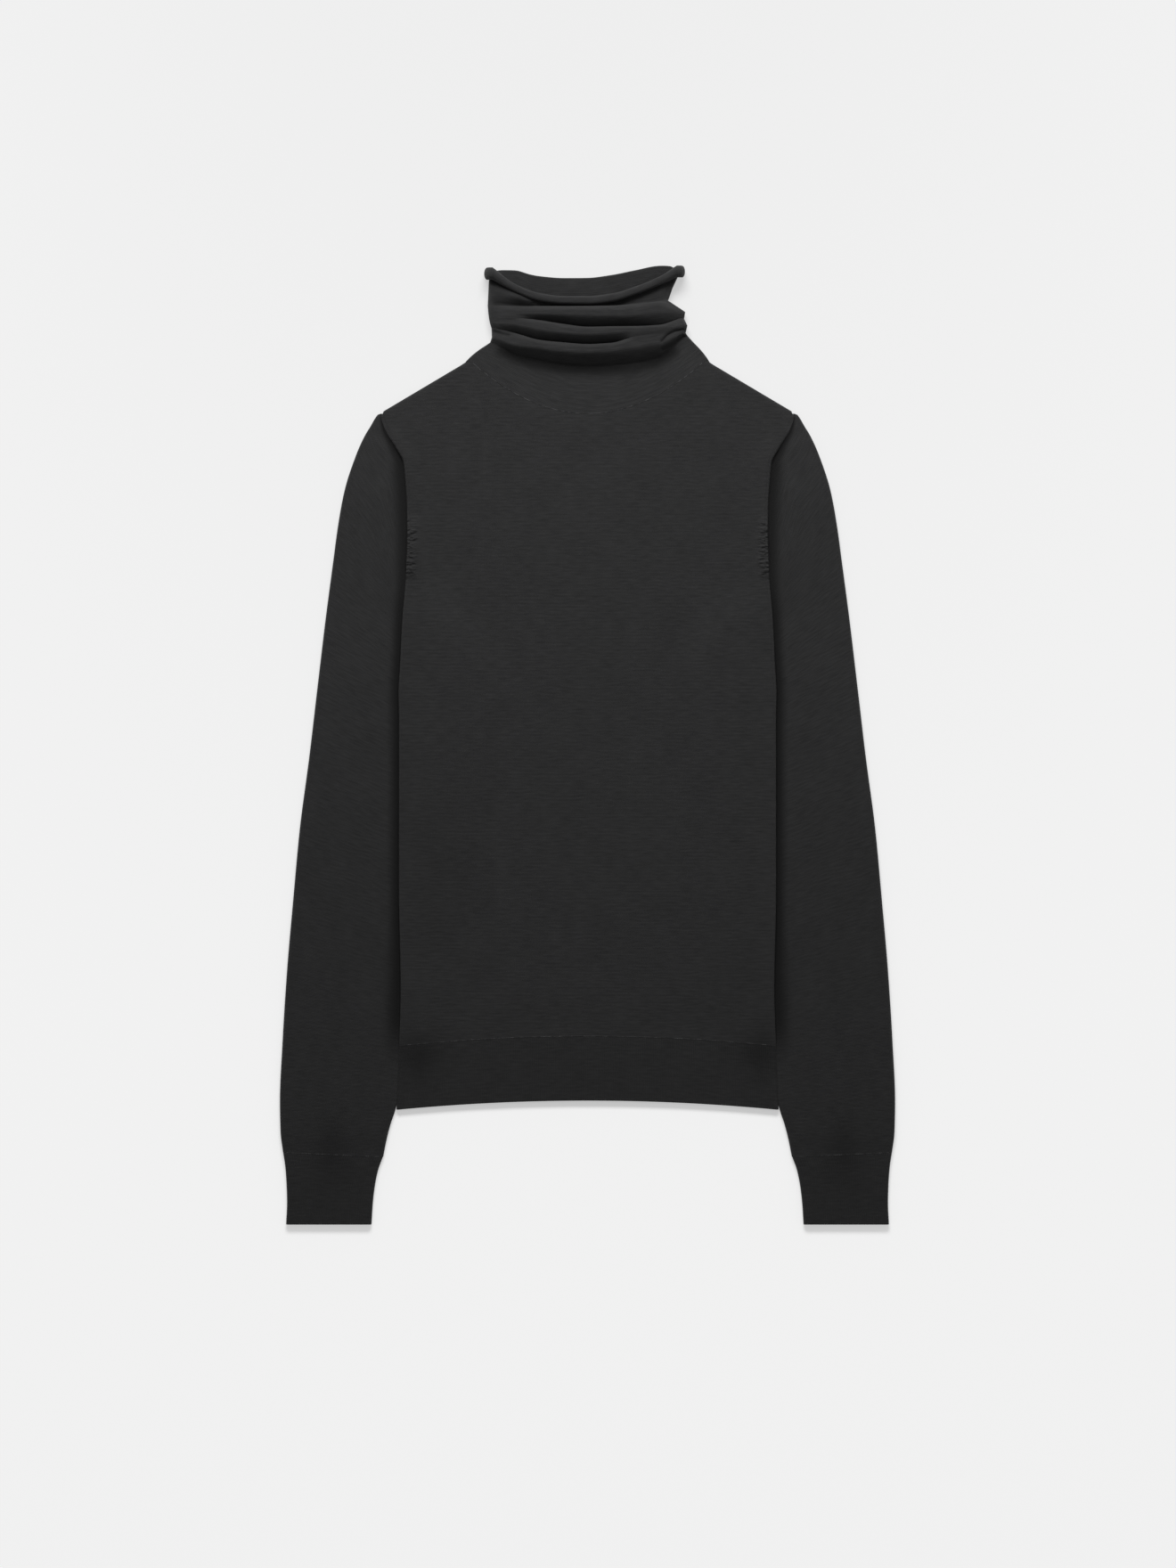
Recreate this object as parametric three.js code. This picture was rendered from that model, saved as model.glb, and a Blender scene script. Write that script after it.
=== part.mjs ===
// Turtleneck sweater in fine knit, laid flat on its back with both sleeves down beside the body
// Nine knitted pieces: front, back, two sleeves, collar, front and back hem ribs, two cuff ribs
// Millimetres, with +X to the right, +Y towards the collar and +Z up from the surface it lies on

import * as THREE from 'three';

// Knit
const WALL = 1.2;
const HALF_WALL = WALL / 2;
const SEAM_GAP = 0.3;
const CURVED_SEAM_GAP = 0.45;
const FOLD_CLEARANCE = 0.3;
const RIB_PITCH = 1.8;
const RIB_RELIEF = 0.35;
const QUARTER_TURN = Math.PI / 2;

// Heights of the middle of each layer above the surface
const BACK_LAYER = HALF_WALL;
const FRONT_LAYER = 3.4;
const TUCK_LIFT = 3.6;
const ARMHOLE_SWELL = 2.2;
const SLEEVE_TOP = 4.3;
const SHOULDER_TOP = 3.9;
const VALLEY_DEPTH = 1.9;
const CUFF_TOP = 4.0;
const CUFF_SEAM_FALL = 0.6;

// Radii of the edges where front and back, or body and sleeve, turn down to meet
const SIDE_RADIUS = 1.5;
const ARMHOLE_RADIUS = 1.3;
const HEM_BACK_RADIUS = 1.1;
const TUCK_BACK_RADIUS = 1.0;
const UNDERARM_BACK_RADIUS = 3.4;
const SHOULDER_RADIUS = 1.5;

// Corners of the body, as half widths and heights on the picture plane
const SHOULDER_POINT = { x: 175.1, y: 279.6 };
const NECK_POINT = { x: 99.5, y: 324.5 };
const UNDERARM_Y = 148;
const FRONT_NECK_LOW = 279.5;
const BACK_NECK_LOW = 309;
const HEM_SEAM = { y: -244.7, drop: 7.9, half: 158.5 };
const HEM_END = { y: -299, drop: 7.6, half: 161 };

// A table with named columns, a row for each place
function tableOf(names, values) {
  const keys = names.split(' ');
  return values.map((row) => Object.fromEntries(keys.map((key, i) => [key, row[i]])));
}

// Outer face of the body's side edge and armhole seam, from the hem's corner to the shoulder point
const BODY_EDGE = tableOf('y half', [
  [-306.6, 161.0], [-285, 160.2], [-250, 158.5], [-205, 157.2], [-120, 158.7], [20, 158.6],
  [45, 159.0], [65, 157.9], [110, 155.6], [132, 153.6], [148, 152.6], [178, 151.6],
  [200, 151.8], [222, 153.2], [238, 154.8], [249, 160.5], [266, 170.4], [279.6, 175.1],
]);

// Outer edge of the sleeve, from the cuff seam to the shoulder
const SLEEVE_OUTER = tableOf('y x', [
  [-342.6, 256.5], [-325, 258.6], [-300, 259.1], [-250, 256.9], [-190, 253.1], [-130, 247.9],
  [-70, 242.3], [-10, 234.4], [50, 227.3], [110, 220.1], [155, 214.1], [185, 210.0],
  [215, 204.4], [245, 194.6], [260, 187.9], [272, 180.6], [279.6, 175.1],
]);

// Inner fold of the sleeve, which runs under the body's side below the underarm
const SLEEVE_INNER = tableOf('y x', [
  [-346.4, 172.1], [-331, 169.0], [-318, 165.6], [-308, 162.7], [-300, 161.1], [-285, 160.5],
  [-262, 159.4], [-250, 158.9], [-235, 158.5],
  [-180, 151.5], [-110, 143], [-40, 130], [20, 118], [60, 116], [92, 134],
  [112, 147.5], [125, 153.6], [134, 154.6], [142, 154.2], [146.5, 153.6], [148, 152.6],
]);

// Rings of the sleeve, by where they meet its outer edge and its inner fold
const SLEEVE_RINGS = tableOf('outerY innerY', [
  [266, 144.5], [250, 139.0], [232, 131.0], [212, 120.0], [188, 104.0], [160, 84.0],
  [126, 58.0], [84, 26.0], [34, -12.0], [-30, -68.0], [-104, -136.0], [-180, -204.0],
  [-246, -260.0], [-296, -303.0], [-324, -329.0], [-342.6, -346.4],
]);

// The cuff's two edges, from its seam to its end
const CUFF_EDGES = tableOf('y outer inner', [
  [-403.3, 253.9, 181.9], [-385, 253.1, 180.8], [-370, 253.5, 179.2],
  [-355, 254.6, 176.4], [-343, 256.4, 172.4],
]);
const CUFF_SEAM_SLOPE = -0.045;

// Soft troughs that the front's cloth has sunk into, long axis turned by an angle
const FRONT_TROUGHS = tableOf('x y length width turn depth', [
  [-116, -70, 70, 20, 1.35, 0.9],
  [112, -82, 62, 18, 1.75, 0.7],
  [16, -182, 44, 20, 0.5, 0.6],
  [-46, -150, 60, 16, 1.9, 0.45],
  [58, 40, 70, 20, 1.2, 0.45],
  [-64, 96, 66, 18, 1.9, 0.45],
]);

// Wrist dents pressed into the sleeve just above the cuff
const WRIST_DENT = { x: 215, y: -333, halfWidth: 15, reach: 34, depth: 1.2 };

// The collar's folds, from its base to the roll at its mouth: where each line lies
// on the picture plane at seven stations across, and where it reaches the collar's two sides
const COLLAR_STATIONS = [-60, -40, -20, 0, 20, 40, 60];
const COLLAR_PLACES = tableOf('line leftX leftY l60 l40 l20 mid r20 r40 r60 rightX rightY', [
  ['flat', -88.5, 334.0, 322.5, 314.0, 309.0, 307.0, 308.0, 312.0, 319.5, 90.5, 338.0],
  ['foot', -82.0, 339.0, 330.0, 325.5, 322.0, 320.5, 321.0, 322.5, 327.0, 84.5, 344.5],
  ['ridge', -80.5, 343.5, 337.5, 335.5, 333.0, 332.3, 333.6, 337.0, 340.0, 82.5, 347.0],
  ['crease', -80.8, 351.0, 346.5, 340.5, 338.5, 337.0, 338.0, 343.0, 345.0, 83.3, 349.8],
  ['ridge', -82.3, 356.0, 354.5, 350.5, 347.8, 346.8, 347.8, 348.3, 349.5, 84.0, 353.2],
  ['crease', -83.0, 360.0, 358.5, 357.0, 354.0, 351.5, 351.8, 352.0, 353.0, 81.3, 359.0],
  ['ridge', -83.5, 364.0, 363.0, 363.0, 362.8, 362.8, 362.3, 363.0, 366.0, 82.2, 364.5],
  ['crease', -84.0, 370.0, 369.0, 369.0, 369.0, 369.2, 369.5, 371.0, 373.0, 67.8, 374.0],
  ['slope', -83.4, 383.0, 376.5, 372.6, 371.4, 371.5, 372.6, 377.0, 381.5, 71.5, 384.5],
  ['roll', -82.8, 396.8, 383.8, 376.3, 373.9, 373.7, 375.8, 381.7, 390.4, 78.0, 399.6],
]);
const COLLAR_HEIGHTS = tableOf('line left l60 l40 l20 mid r20 r40 r60 right back', [
  ['flat', 3.9, 4.2, 4.3, 4.3, 4.3, 4.3, 4.3, 4.2, 3.9, 0.6],
  ['foot', 5.2, 6.4, 6.6, 6.6, 6.6, 6.6, 6.6, 6.4, 5.4, 0.6],
  ['ridge', 8.0, 14.0, 16.6, 17.6, 17.8, 17.6, 17.0, 15.6, 9.4, 0.6],
  ['crease', 7.8, 8.6, 8.6, 8.6, 8.6, 8.6, 15.4, 15.4, 9.6, 0.6],
  ['ridge', 9.6, 16.0, 18.0, 18.6, 18.6, 18.6, 18.2, 16.8, 10.0, 0.6],
  ['crease', 9.6, 16.0, 11.6, 8.8, 8.6, 8.6, 8.6, 8.8, 8.0, 0.6],
  ['ridge', 9.6, 16.2, 18.2, 18.8, 18.8, 18.8, 18.2, 16.2, 9.4, 0.6],
  ['crease', 8.4, 8.8, 8.6, 8.4, 8.4, 8.4, 8.6, 9.2, 7.8, 0.6],
  ['slope', 8.0, 9.4, 8.9, 8.5, 8.4, 8.5, 9.1, 9.8, 7.8, 0.8],
  ['roll', 7.6, 9.8, 9.1, 8.8, 8.7, 8.8, 9.2, 9.8, 7.6, 2.5],
]);

// How far the collar's back rim sags below a straight line between its two sides
const BACK_RIM = tableOf('part sag', [
  [0, 0], [0.125, -0.7], [0.255, -4.6], [0.385, -6.8], [0.516, -7.1], [0.646, -5.2],
  [0.776, -1.8], [0.906, 1.0], [1, 0],
]);
const COLLAR_NAMES = ['l60', 'l40', 'l20', 'mid', 'r20', 'r40', 'r60'];
const ROLL_RADIUS = {
  left: 3.0, l60: 2.1, l40: 2.5, l20: 2.9, mid: 3.0, r20: 3.0, r40: 2.8, r60: 2.6, right: 3.0, back: 0.95,
};
const ROLL_TURN = 1.5 * Math.PI;
const ROLL_STEPS = 6;
const ROLL_UNDER = 3;
const COLLAR_SIDE = { reach: 3, roundness: 0.45 };

// Stretches over which one shape gives way to another: where each starts and ends
const LIFT_TOP = { from: UNDERARM_Y - 1, to: UNDERARM_Y - 16 };
const LIFT_FOOT = { from: -275, to: -238 };
const CLOSING = { from: UNDERARM_Y - 5, to: UNDERARM_Y - 13 };
const EDGE_TURN = { from: SHOULDER_POINT.y - 4, to: SHOULDER_POINT.y - 38 };
const SHOULDER_TURN = { from: NECK_POINT.x + 1, to: NECK_POINT.x + 8 };
const FRONT_TUCK = { from: -56, to: -20 };
const BACK_TUCK = { from: -46, to: -18 };
const SWELL_ACROSS = { from: -22, to: -4 };
const SWELL_FOOT = { from: 100, to: 120 };
const SWELL_TOP = { from: 276, to: 240 };
const TROUGH_INSET = { from: 4, to: 30 };
const TOP_RISE = { from: 30, to: 0 };
const VALLEY_TOP = { from: SHOULDER_POINT.y, to: SHOULDER_POINT.y - 34 };
const VALLEY_ACROSS = { from: 14, to: 1 };
const SLEEVE_RISE = { from: 250, to: 278 };
const CUFF_FALL = { from: -328, to: -344 };
const CUFF_RISE = { from: 0, to: 0.45 };
const ARMHOLE_BOW = { from: SHOULDER_POINT.y - 120, to: SHOULDER_POINT.y };

// Part of the way from one value to another
function mix(a, b, part) {
  return a + (b - a) * part;
}

// A smooth step from 0 to 1
function smooth(part) {
  const t = Math.min(1, Math.max(0, part));
  return t * t * (3 - 2 * t);
}

// How far a place has come along a stretch
function ramp(place, { from, to }) {
  return smooth((place - from) / (to - from));
}

// Slope of a column at one row, never steeper than its smoother side
function slopeAt(rows, key, name, i) {
  if (i === 0 || i === rows.length - 1) {
    const j = i === 0 ? 0 : i - 1;
    return (rows[j + 1][name] - rows[j][name]) / (rows[j + 1][key] - rows[j][key]);
  }
  const before = (rows[i][name] - rows[i - 1][name]) / (rows[i][key] - rows[i - 1][key]);
  const after = (rows[i + 1][name] - rows[i][name]) / (rows[i + 1][key] - rows[i][key]);
  return before * after > 0 ? (2 * before * after) / (before + after) : 0;
}

// Value of a column where the key column reaches a place, on a smooth curve through the rows
function along(rows, key, place, name) {
  if (place <= rows[0][key]) return rows[0][name];
  if (place >= rows[rows.length - 1][key]) return rows[rows.length - 1][name];
  let i = 0;
  while (rows[i + 1][key] < place) i += 1;
  const run = rows[i + 1][key] - rows[i][key];
  const t = (place - rows[i][key]) / run;
  const rise = rows[i + 1][name] - rows[i][name];
  const start = slopeAt(rows, key, name, i) * run;
  const end = slopeAt(rows, key, name, i + 1) * run;
  const cubic = (start + end - 2 * rise) * t * t * t + (3 * rise - 2 * start - end) * t * t;
  return rows[i][name] + start * t + cubic;
}

// A bend through an angle along a length of cloth: how far out and how far down it has gone
function bend(angle, length, travelled) {
  if (angle < 1e-6) return { out: travelled, down: 0 };
  const turned = (angle * travelled) / length;
  const radius = length / angle;
  return { out: radius * Math.sin(turned), down: radius * (1 - Math.cos(turned)) };
}

// Evenly spaced values from one end to the other
function evenly(from, to, steps) {
  return Array.from({ length: steps + 1 }, (_, i) => mix(from, to, i / steps));
}

// Unit normals of a grid of points, with the ends' slopes taken through three points
function gridNormals(grid, closed) {
  const rowCount = grid.length;
  const columnCount = grid[0].length;
  const difference = (at, i, count, wraps) => {
    if (wraps) return at((i + 1) % count).clone().sub(at((i + count - 1) % count));
    if (count === 2) return at(1).clone().sub(at(0));
    if (i > 0 && i < count - 1) return at(i + 1).clone().sub(at(i - 1));
    const inward = i === 0 ? 1 : -1;
    const slope = at(i).clone().multiplyScalar(-3).addScaledVector(at(i + inward), 4);
    return slope.sub(at(i + 2 * inward)).multiplyScalar(inward);
  };
  return grid.map((row, r) => row.map((point, c) => {
    const across = difference((k) => row[k], c, columnCount, closed);
    const upward = difference((k) => grid[k][c], r, rowCount, false);
    return across.cross(upward).normalize();
  }));
}

// One face of a wall: a grid moved along its normals
function movedGrid(grid, closed, distanceAt) {
  const normals = gridNormals(grid, closed);
  return grid.map((row, r) => row.map((point, c) => (
    point.clone().addScaledVector(normals[r][c], distanceAt(r, c))
  )));
}

// Joins two rows of points whose places run the same way, whatever their counts
function zipRows(triangles, lower, lowerPlaces, upper, upperPlaces) {
  let i = 0;
  let j = 0;
  while (i < lower.length - 1 || j < upper.length - 1) {
    const upperDone = j === upper.length - 1;
    const lowerDone = i === lower.length - 1;
    if (upperDone || (!lowerDone && lowerPlaces[i + 1] <= upperPlaces[j + 1])) {
      triangles.push([lower[i], lower[i + 1], upper[j]]);
      i += 1;
    } else {
      triangles.push([lower[i], upper[j + 1], upper[j]]);
      j += 1;
    }
  }
}

// Strips of triangles over a grid
function coverGrid(triangles, grid, facesBack) {
  for (let r = 0; r < grid.length - 1; r += 1) {
    for (let c = 0; c < grid[r].length - 1; c += 1) {
      const corners = [grid[r][c], grid[r][c + 1], grid[r + 1][c + 1], grid[r + 1][c]];
      if (facesBack) corners.reverse();
      triangles.push([corners[0], corners[1], corners[2]], [corners[0], corners[2], corners[3]]);
    }
  }
}

// Six times the volume that a list of outward triangles encloses
function sixVolumes(triangles) {
  return triangles.reduce((sum, [a, b, c]) => sum + a.dot(b.clone().cross(c)), 0);
}

// A wall of cloth from its middle surface: ribs rise on the outer face, the inner face stays plain.
// The columns run across or around, and the rows run from one seam to the other.
function clothWall({ rows, outer, inner = outer, closed = false, pointAt, relief = () => 0 }) {
  const gridFor = (columns) => rows.map((row) => columns.map((column) => pointAt(column, row)));
  const outerFace = movedGrid(gridFor(outer), closed, (r, c) => HALF_WALL + relief(outer[c], rows[r]));
  const innerFace = movedGrid(gridFor(inner), closed, () => -HALF_WALL);
  const outerPlaces = outer.map((column) => column.place);
  const innerPlaces = inner.map((column) => column.place);
  if (closed) {
    for (const row of [...outerFace, ...innerFace]) row.push(row[0]);
    outerPlaces.push(Infinity);
    innerPlaces.push(Infinity);
  }
  const triangles = [];
  coverGrid(triangles, outerFace, false);
  coverGrid(triangles, innerFace, true);
  const last = rows.length - 1;
  zipRows(triangles, innerFace[0], innerPlaces, outerFace[0], outerPlaces);
  zipRows(triangles, outerFace[last], outerPlaces, innerFace[last], innerPlaces);
  if (!closed) {
    const startRim = [outerFace.map((row) => row[0]), innerFace.map((row) => row[0])];
    const endRim = [innerFace.map((row) => row.at(-1)), outerFace.map((row) => row.at(-1))];
    coverGrid(triangles, startRim, false);
    coverGrid(triangles, endRim, false);
  }
  if (sixVolumes(triangles) < 0) {
    for (const triangle of triangles) triangle.reverse();
  }
  const positions = triangles.flat().flatMap((point) => [point.x, point.y, point.z]);
  const geometry = new THREE.BufferGeometry();
  geometry.setAttribute('position', new THREE.Float32BufferAttribute(positions, 3));
  geometry.computeVertexNormals();
  return geometry;
}

// How far the body's side is lifted by the sleeve tucked under it
function liftAt(y) {
  return ramp(y, LIFT_TOP) * ramp(y, LIFT_FOOT);
}

// How far the back's edge has turned up to close the side seam below the underarm
function closingAt(y) {
  return ramp(y, CLOSING);
}

// How far the front's edge turns down: fully along the side and armhole, not at the shoulder point
function frontEdgeAngle(y) {
  return QUARTER_TURN * ramp(y, EDGE_TURN);
}

// How far a shoulder seam's edge turns: fully along the shoulder, not at the neck point
function shoulderAngle(x) {
  return QUARTER_TURN * ramp(Math.abs(x), SHOULDER_TURN);
}

// How much longer a step across is than one square to the body's edge
function edgeSkew(y) {
  const step = 0.5;
  const run = along(BODY_EDGE, 'y', y + step, 'half') - along(BODY_EDGE, 'y', y - step, 'half');
  return Math.hypot(1, run / (2 * step));
}

// Sum of the soft troughs at a place on the front
function troughDepth(x, y) {
  return FRONT_TROUGHS.reduce((sum, trough) => {
    const cos = Math.cos(trough.turn);
    const sin = Math.sin(trough.turn);
    const lengthwise = ((x - trough.x) * cos + (y - trough.y) * sin) / trough.length;
    const sideways = ((y - trough.y) * cos - (x - trough.x) * sin) / trough.width;
    return sum + trough.depth * Math.exp(-2 * (lengthwise ** 2 + sideways ** 2));
  }, 0);
}

// Height of the front's middle surface, before its edges turn down
function frontHeight(x, y) {
  const half = along(BODY_EDGE, 'y', y, 'half');
  const fold = along(SLEEVE_INNER, 'y', y, 'x');
  const lift = liftAt(y);
  const tuck = lift * ramp(Math.abs(x) - fold, FRONT_TUCK);
  const beside = ramp(Math.abs(x) - half, SWELL_ACROSS);
  const swell = beside * (1 - lift) * ramp(y, SWELL_FOOT) * ramp(y, SWELL_TOP);
  const inset = ramp(half - Math.abs(x), TROUGH_INSET);
  const belowTop = topEdge(x, FRONT_NECK_LOW) - y;
  const topRise = (SHOULDER_TOP - FRONT_LAYER) * ramp(belowTop, TOP_RISE);
  const layers = FRONT_LAYER + TUCK_LIFT * tuck + ARMHOLE_SWELL * swell + topRise;
  return layers - troughDepth(x, y) * inset;
}

// Height of the back's middle surface, before its edges turn up
function backHeight(x, y) {
  const fold = along(SLEEVE_INNER, 'y', y, 'x');
  const tuck = liftAt(y) * ramp(Math.abs(x) - fold, BACK_TUCK);
  return BACK_LAYER + TUCK_LIFT * tuck;
}

// The line of a hem seam or hem end across the body
function hemLine(line, x) {
  return line.y - line.drop * (x / line.half) ** 2;
}

// The body's top edge: a neck curve between two straight shoulders
function topEdge(x, neckLow) {
  const reach = Math.abs(x) - NECK_POINT.x;
  if (reach < 0) return neckLow + (NECK_POINT.y - neckLow) * (x / NECK_POINT.x) ** 2;
  return NECK_POINT.y - SHOULDER_FALL * reach;
}

// Slope of the two shoulder seams, and how far below them the panels stop being flat
const SHOULDER_FALL = (NECK_POINT.y - SHOULDER_POINT.y) / (SHOULDER_POINT.x - NECK_POINT.x);
const SHOULDER_SKEW = Math.hypot(1, SHOULDER_FALL);
const SHOULDER_LENGTH = QUARTER_TURN * SHOULDER_RADIUS;
const SIDE_TOP = SHOULDER_POINT.y - (HALF_WALL + SHOULDER_RADIUS) * SHOULDER_SKEW;

// Heights at which the rows of the front and back meet the side edge, below and along the armhole
const SIDE_ROWS = [-235, -170, -100, -30, 30, 60, 84, 106, 122, 134, 143];
const ARMHOLE_ROWS = [UNDERARM_Y, 157, 169, 181, 193, 205, 217, 228, 238, 247, 256, 265, 272, SIDE_TOP];

// Where the columns of the front and back meet the neck and shoulders
const FRONT_NECK_COLUMNS = [0, 20, 40, 60, 80, NECK_POINT.x];
const BACK_NECK_COLUMNS = [0, 33, 66, NECK_POINT.x];
const SHOULDER_COLUMNS = [117, 138, 158];
const EDGE_BENDS = [0.5, 1];

// A panel's columns: flat ones, as parts of its flat half width, between two bent edges
function panelColumns(flat) {
  const edge = (side) => EDGE_BENDS.map((bent) => ({ flat: side, bent, place: side * (1 + bent) }));
  const middle = flat.map((value) => ({ flat: value, bent: 0, place: value }));
  return [...edge(-1).reverse(), ...middle, ...edge(1)];
}

// How far a panel's middle surface lies from the centre where its side starts to bend
function flatHalf(panel, sideY) {
  const half = along(BODY_EDGE, 'y', sideY, 'half');
  const angle = panel.sideAngle(sideY);
  const length = panel.sideLength(sideY);
  return half - edgeSkew(sideY) * (HALF_WALL * Math.sin(angle) + bend(angle, length, length).out);
}

// A column's place across at one height of the side, and how far its bent edge has turned
function acrossPanel(panel, column, sideY) {
  const length = panel.sideLength(sideY);
  const turned = bend(panel.sideAngle(sideY), length, length * column.bent);
  const out = column.bent > 0 ? edgeSkew(sideY) * turned.out : 0;
  const down = column.bent > 0 ? turned.down : 0;
  return { x: column.flat * flatHalf(panel, sideY) + Math.sign(column.flat) * out, down };
}

// One point of a front or back panel
function panelPoint(panel, column, row) {
  const bottomSide = hemLine(HEM_SEAM, HEM_SEAM.half) + SEAM_GAP;
  const part = (row.sideY - bottomSide) / (SIDE_TOP - bottomSide);
  const topX = column.flat * flatHalf(panel, SIDE_TOP);
  const shoulder = shoulderAngle(topX);
  const turn = bend(shoulder, SHOULDER_LENGTH, SHOULDER_LENGTH);
  const inset = SHOULDER_SKEW * (HALF_WALL * Math.sin(shoulder) + turn.out);
  const topFlat = Math.abs(column.flat) === 1 ? SIDE_TOP : topEdge(topX, panel.neckLow) - inset;
  const topBend = bend(shoulder, SHOULDER_LENGTH, SHOULDER_LENGTH * row.bent);
  const bottom = hemLine(HEM_SEAM, column.flat * HEM_SEAM.half) + SEAM_GAP;
  const y = mix(bottom, topFlat, part) + (row.bent > 0 ? SHOULDER_SKEW * topBend.out : 0);
  const across = acrossPanel(panel, column, row.sideY);
  const down = across.down + (row.bent > 0 ? topBend.down : 0);
  return new THREE.Vector3(across.x, y, panel.height(across.x, y) - panel.turns * down);
}

// The front: its edges turn down
const FRONT = {
  neckLow: FRONT_NECK_LOW,
  neckColumns: FRONT_NECK_COLUMNS,
  sideAngle: frontEdgeAngle,
  sideLength: (y) => QUARTER_TURN * mix(ARMHOLE_RADIUS, SIDE_RADIUS, liftAt(y)),
  height: frontHeight,
  turns: 1,
};

// The back: its edges turn up, but lie flat along the armhole
const BACK = {
  neckLow: BACK_NECK_LOW,
  neckColumns: BACK_NECK_COLUMNS,
  sideAngle: (y) => QUARTER_TURN * closingAt(y),
  sideLength: (y) => QUARTER_TURN * backEdgeRadius(y),
  height: backHeight,
  turns: -1,
};

function backEdgeRadius(y) {
  const underarm = mix(ARMHOLE_RADIUS, UNDERARM_BACK_RADIUS, closingAt(y));
  return mix(y > 0 ? underarm : HEM_BACK_RADIUS, TUCK_BACK_RADIUS, liftAt(y));
}

function panelWall(panel) {
  const bottomSide = hemLine(HEM_SEAM, HEM_SEAM.half) + SEAM_GAP;
  const flatRows = [bottomSide, ...SIDE_ROWS, ...ARMHOLE_ROWS].map((sideY) => ({ sideY, bent: 0 }));
  const bentRows = EDGE_BENDS.map((bent) => ({ sideY: SIDE_TOP, bent }));
  const topHalf = flatHalf(panel, SIDE_TOP);
  const rightward = [...panel.neckColumns, ...SHOULDER_COLUMNS, topHalf].map((x) => x / topHalf);
  const leftward = rightward.slice(1).map((part) => -part).reverse();
  return clothWall({
    rows: [...flatRows, ...bentRows],
    outer: panelColumns([...leftward, ...rightward]),
    pointAt: (column, row) => panelPoint(panel, column, row),
  });
}

// One point of a hem rib, from the seam down to the end
function hemPoint(panel, column, row) {
  const sideStart = hemLine(HEM_SEAM, HEM_SEAM.half) - SEAM_GAP;
  const sideY = mix(sideStart, hemLine(HEM_END, HEM_END.half), row.part);
  const across = acrossPanel(panel, column, sideY);
  const seam = hemLine(HEM_SEAM, column.flat * HEM_SEAM.half) - SEAM_GAP;
  const y = mix(seam, hemLine(HEM_END, column.flat * HEM_END.half), row.part);
  return new THREE.Vector3(across.x, y, panel.height(across.x, y) - panel.turns * across.down);
}

// Columns of a ribbed face: a groove and a crest for each rib
function ribbedColumns(width) {
  const ribs = Math.round(width / RIB_PITCH);
  return evenly(-1, 1, 2 * ribs);
}

const HEM_PLAIN_STEPS = 20;

function hemWall(panel, ribbed) {
  const plain = panelColumns(evenly(-1, 1, HEM_PLAIN_STEPS));
  const outer = ribbed ? panelColumns(ribbedColumns(2 * HEM_SEAM.half)) : plain;
  const crests = new Set(outer.filter((column) => column.bent === 0).filter((_, i) => i % 2 === 1));
  return clothWall({
    rows: [0, 1].map((part) => ({ part })),
    outer,
    inner: plain,
    pointAt: (column, row) => hemPoint(panel, column, row),
    relief: (column) => (ribbed && crests.has(column) ? RIB_RELIEF : 0),
  });
}

// A point of the armhole seam, from the shoulder down to the underarm
function armholeAt(part) {
  const y = mix(SIDE_TOP, UNDERARM_Y, part);
  return new THREE.Vector2(along(BODY_EDGE, 'y', y, 'half'), y);
}

// The way out of the armhole, square to its seam
function armholeOutward(part) {
  const step = 0.004;
  const run = armholeAt(Math.min(1, part + step)).sub(armholeAt(Math.max(0, part - step)));
  return new THREE.Vector2(-run.y, run.x).normalize();
}

// Reach of the sleeve's first stretch, which turns from the front's edge down to its own layer,
// reach of its two folds, and the steps that its columns and rows take
const SEAM_REACH = 1.8;
const FOLD_REACH = 2;
const FOLD_STEPS = 4;
const SEAM_STEPS = [0, 0.35, 0.7, 1];

// Height of the sleeve's upper layer: low in the valley beside the body's edge and where tucked
function sleeveHeight(x, y) {
  const outside = x - along(BODY_EDGE, 'y', y, 'half');
  const valley = VALLEY_DEPTH * ramp(y, VALLEY_TOP) * ramp(outside, VALLEY_ACROSS);
  const top = mix(SLEEVE_TOP, SHOULDER_TOP, ramp(y, SLEEVE_RISE));
  const cuffFall = CUFF_SEAM_FALL * ramp(y, CUFF_FALL);
  const dentWide = Math.max(0, 1 - ((x - WRIST_DENT.x) / WRIST_DENT.halfWidth) ** 2);
  const dentLong = smooth(1 - Math.abs(y - WRIST_DENT.y) / WRIST_DENT.reach);
  const dent = WRIST_DENT.depth * dentWide * dentLong;
  return top - valley - cuffFall - dent;
}

// Columns around a flattened tube: upper layer, inner fold, lower layer, outer fold
function tubeColumns(upper, lower) {
  const columns = [];
  upper.forEach((part) => columns.push({ zone: 'upper', part, turn: 0 }));
  evenly(0, Math.PI, FOLD_STEPS).slice(1, -1).forEach((turn) => {
    columns.push({ zone: 'inner', part: 1, turn });
  });
  lower.forEach((part) => columns.push({ zone: 'lower', part, turn: Math.PI }));
  evenly(Math.PI, 0, FOLD_STEPS).slice(1, -1).forEach((turn) => {
    columns.push({ zone: 'outer', part: 0, turn });
  });
  const tops = upper.length + FOLD_STEPS - 1;
  columns.forEach((column, i) => {
    const inUpper = column.zone === 'upper';
    column.place = inUpper ? column.part : 1 + (i - upper.length + 1) / 1000;
    if (i >= tops) column.place = 2 + (i - tops) / 1000;
  });
  return columns;
}

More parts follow.
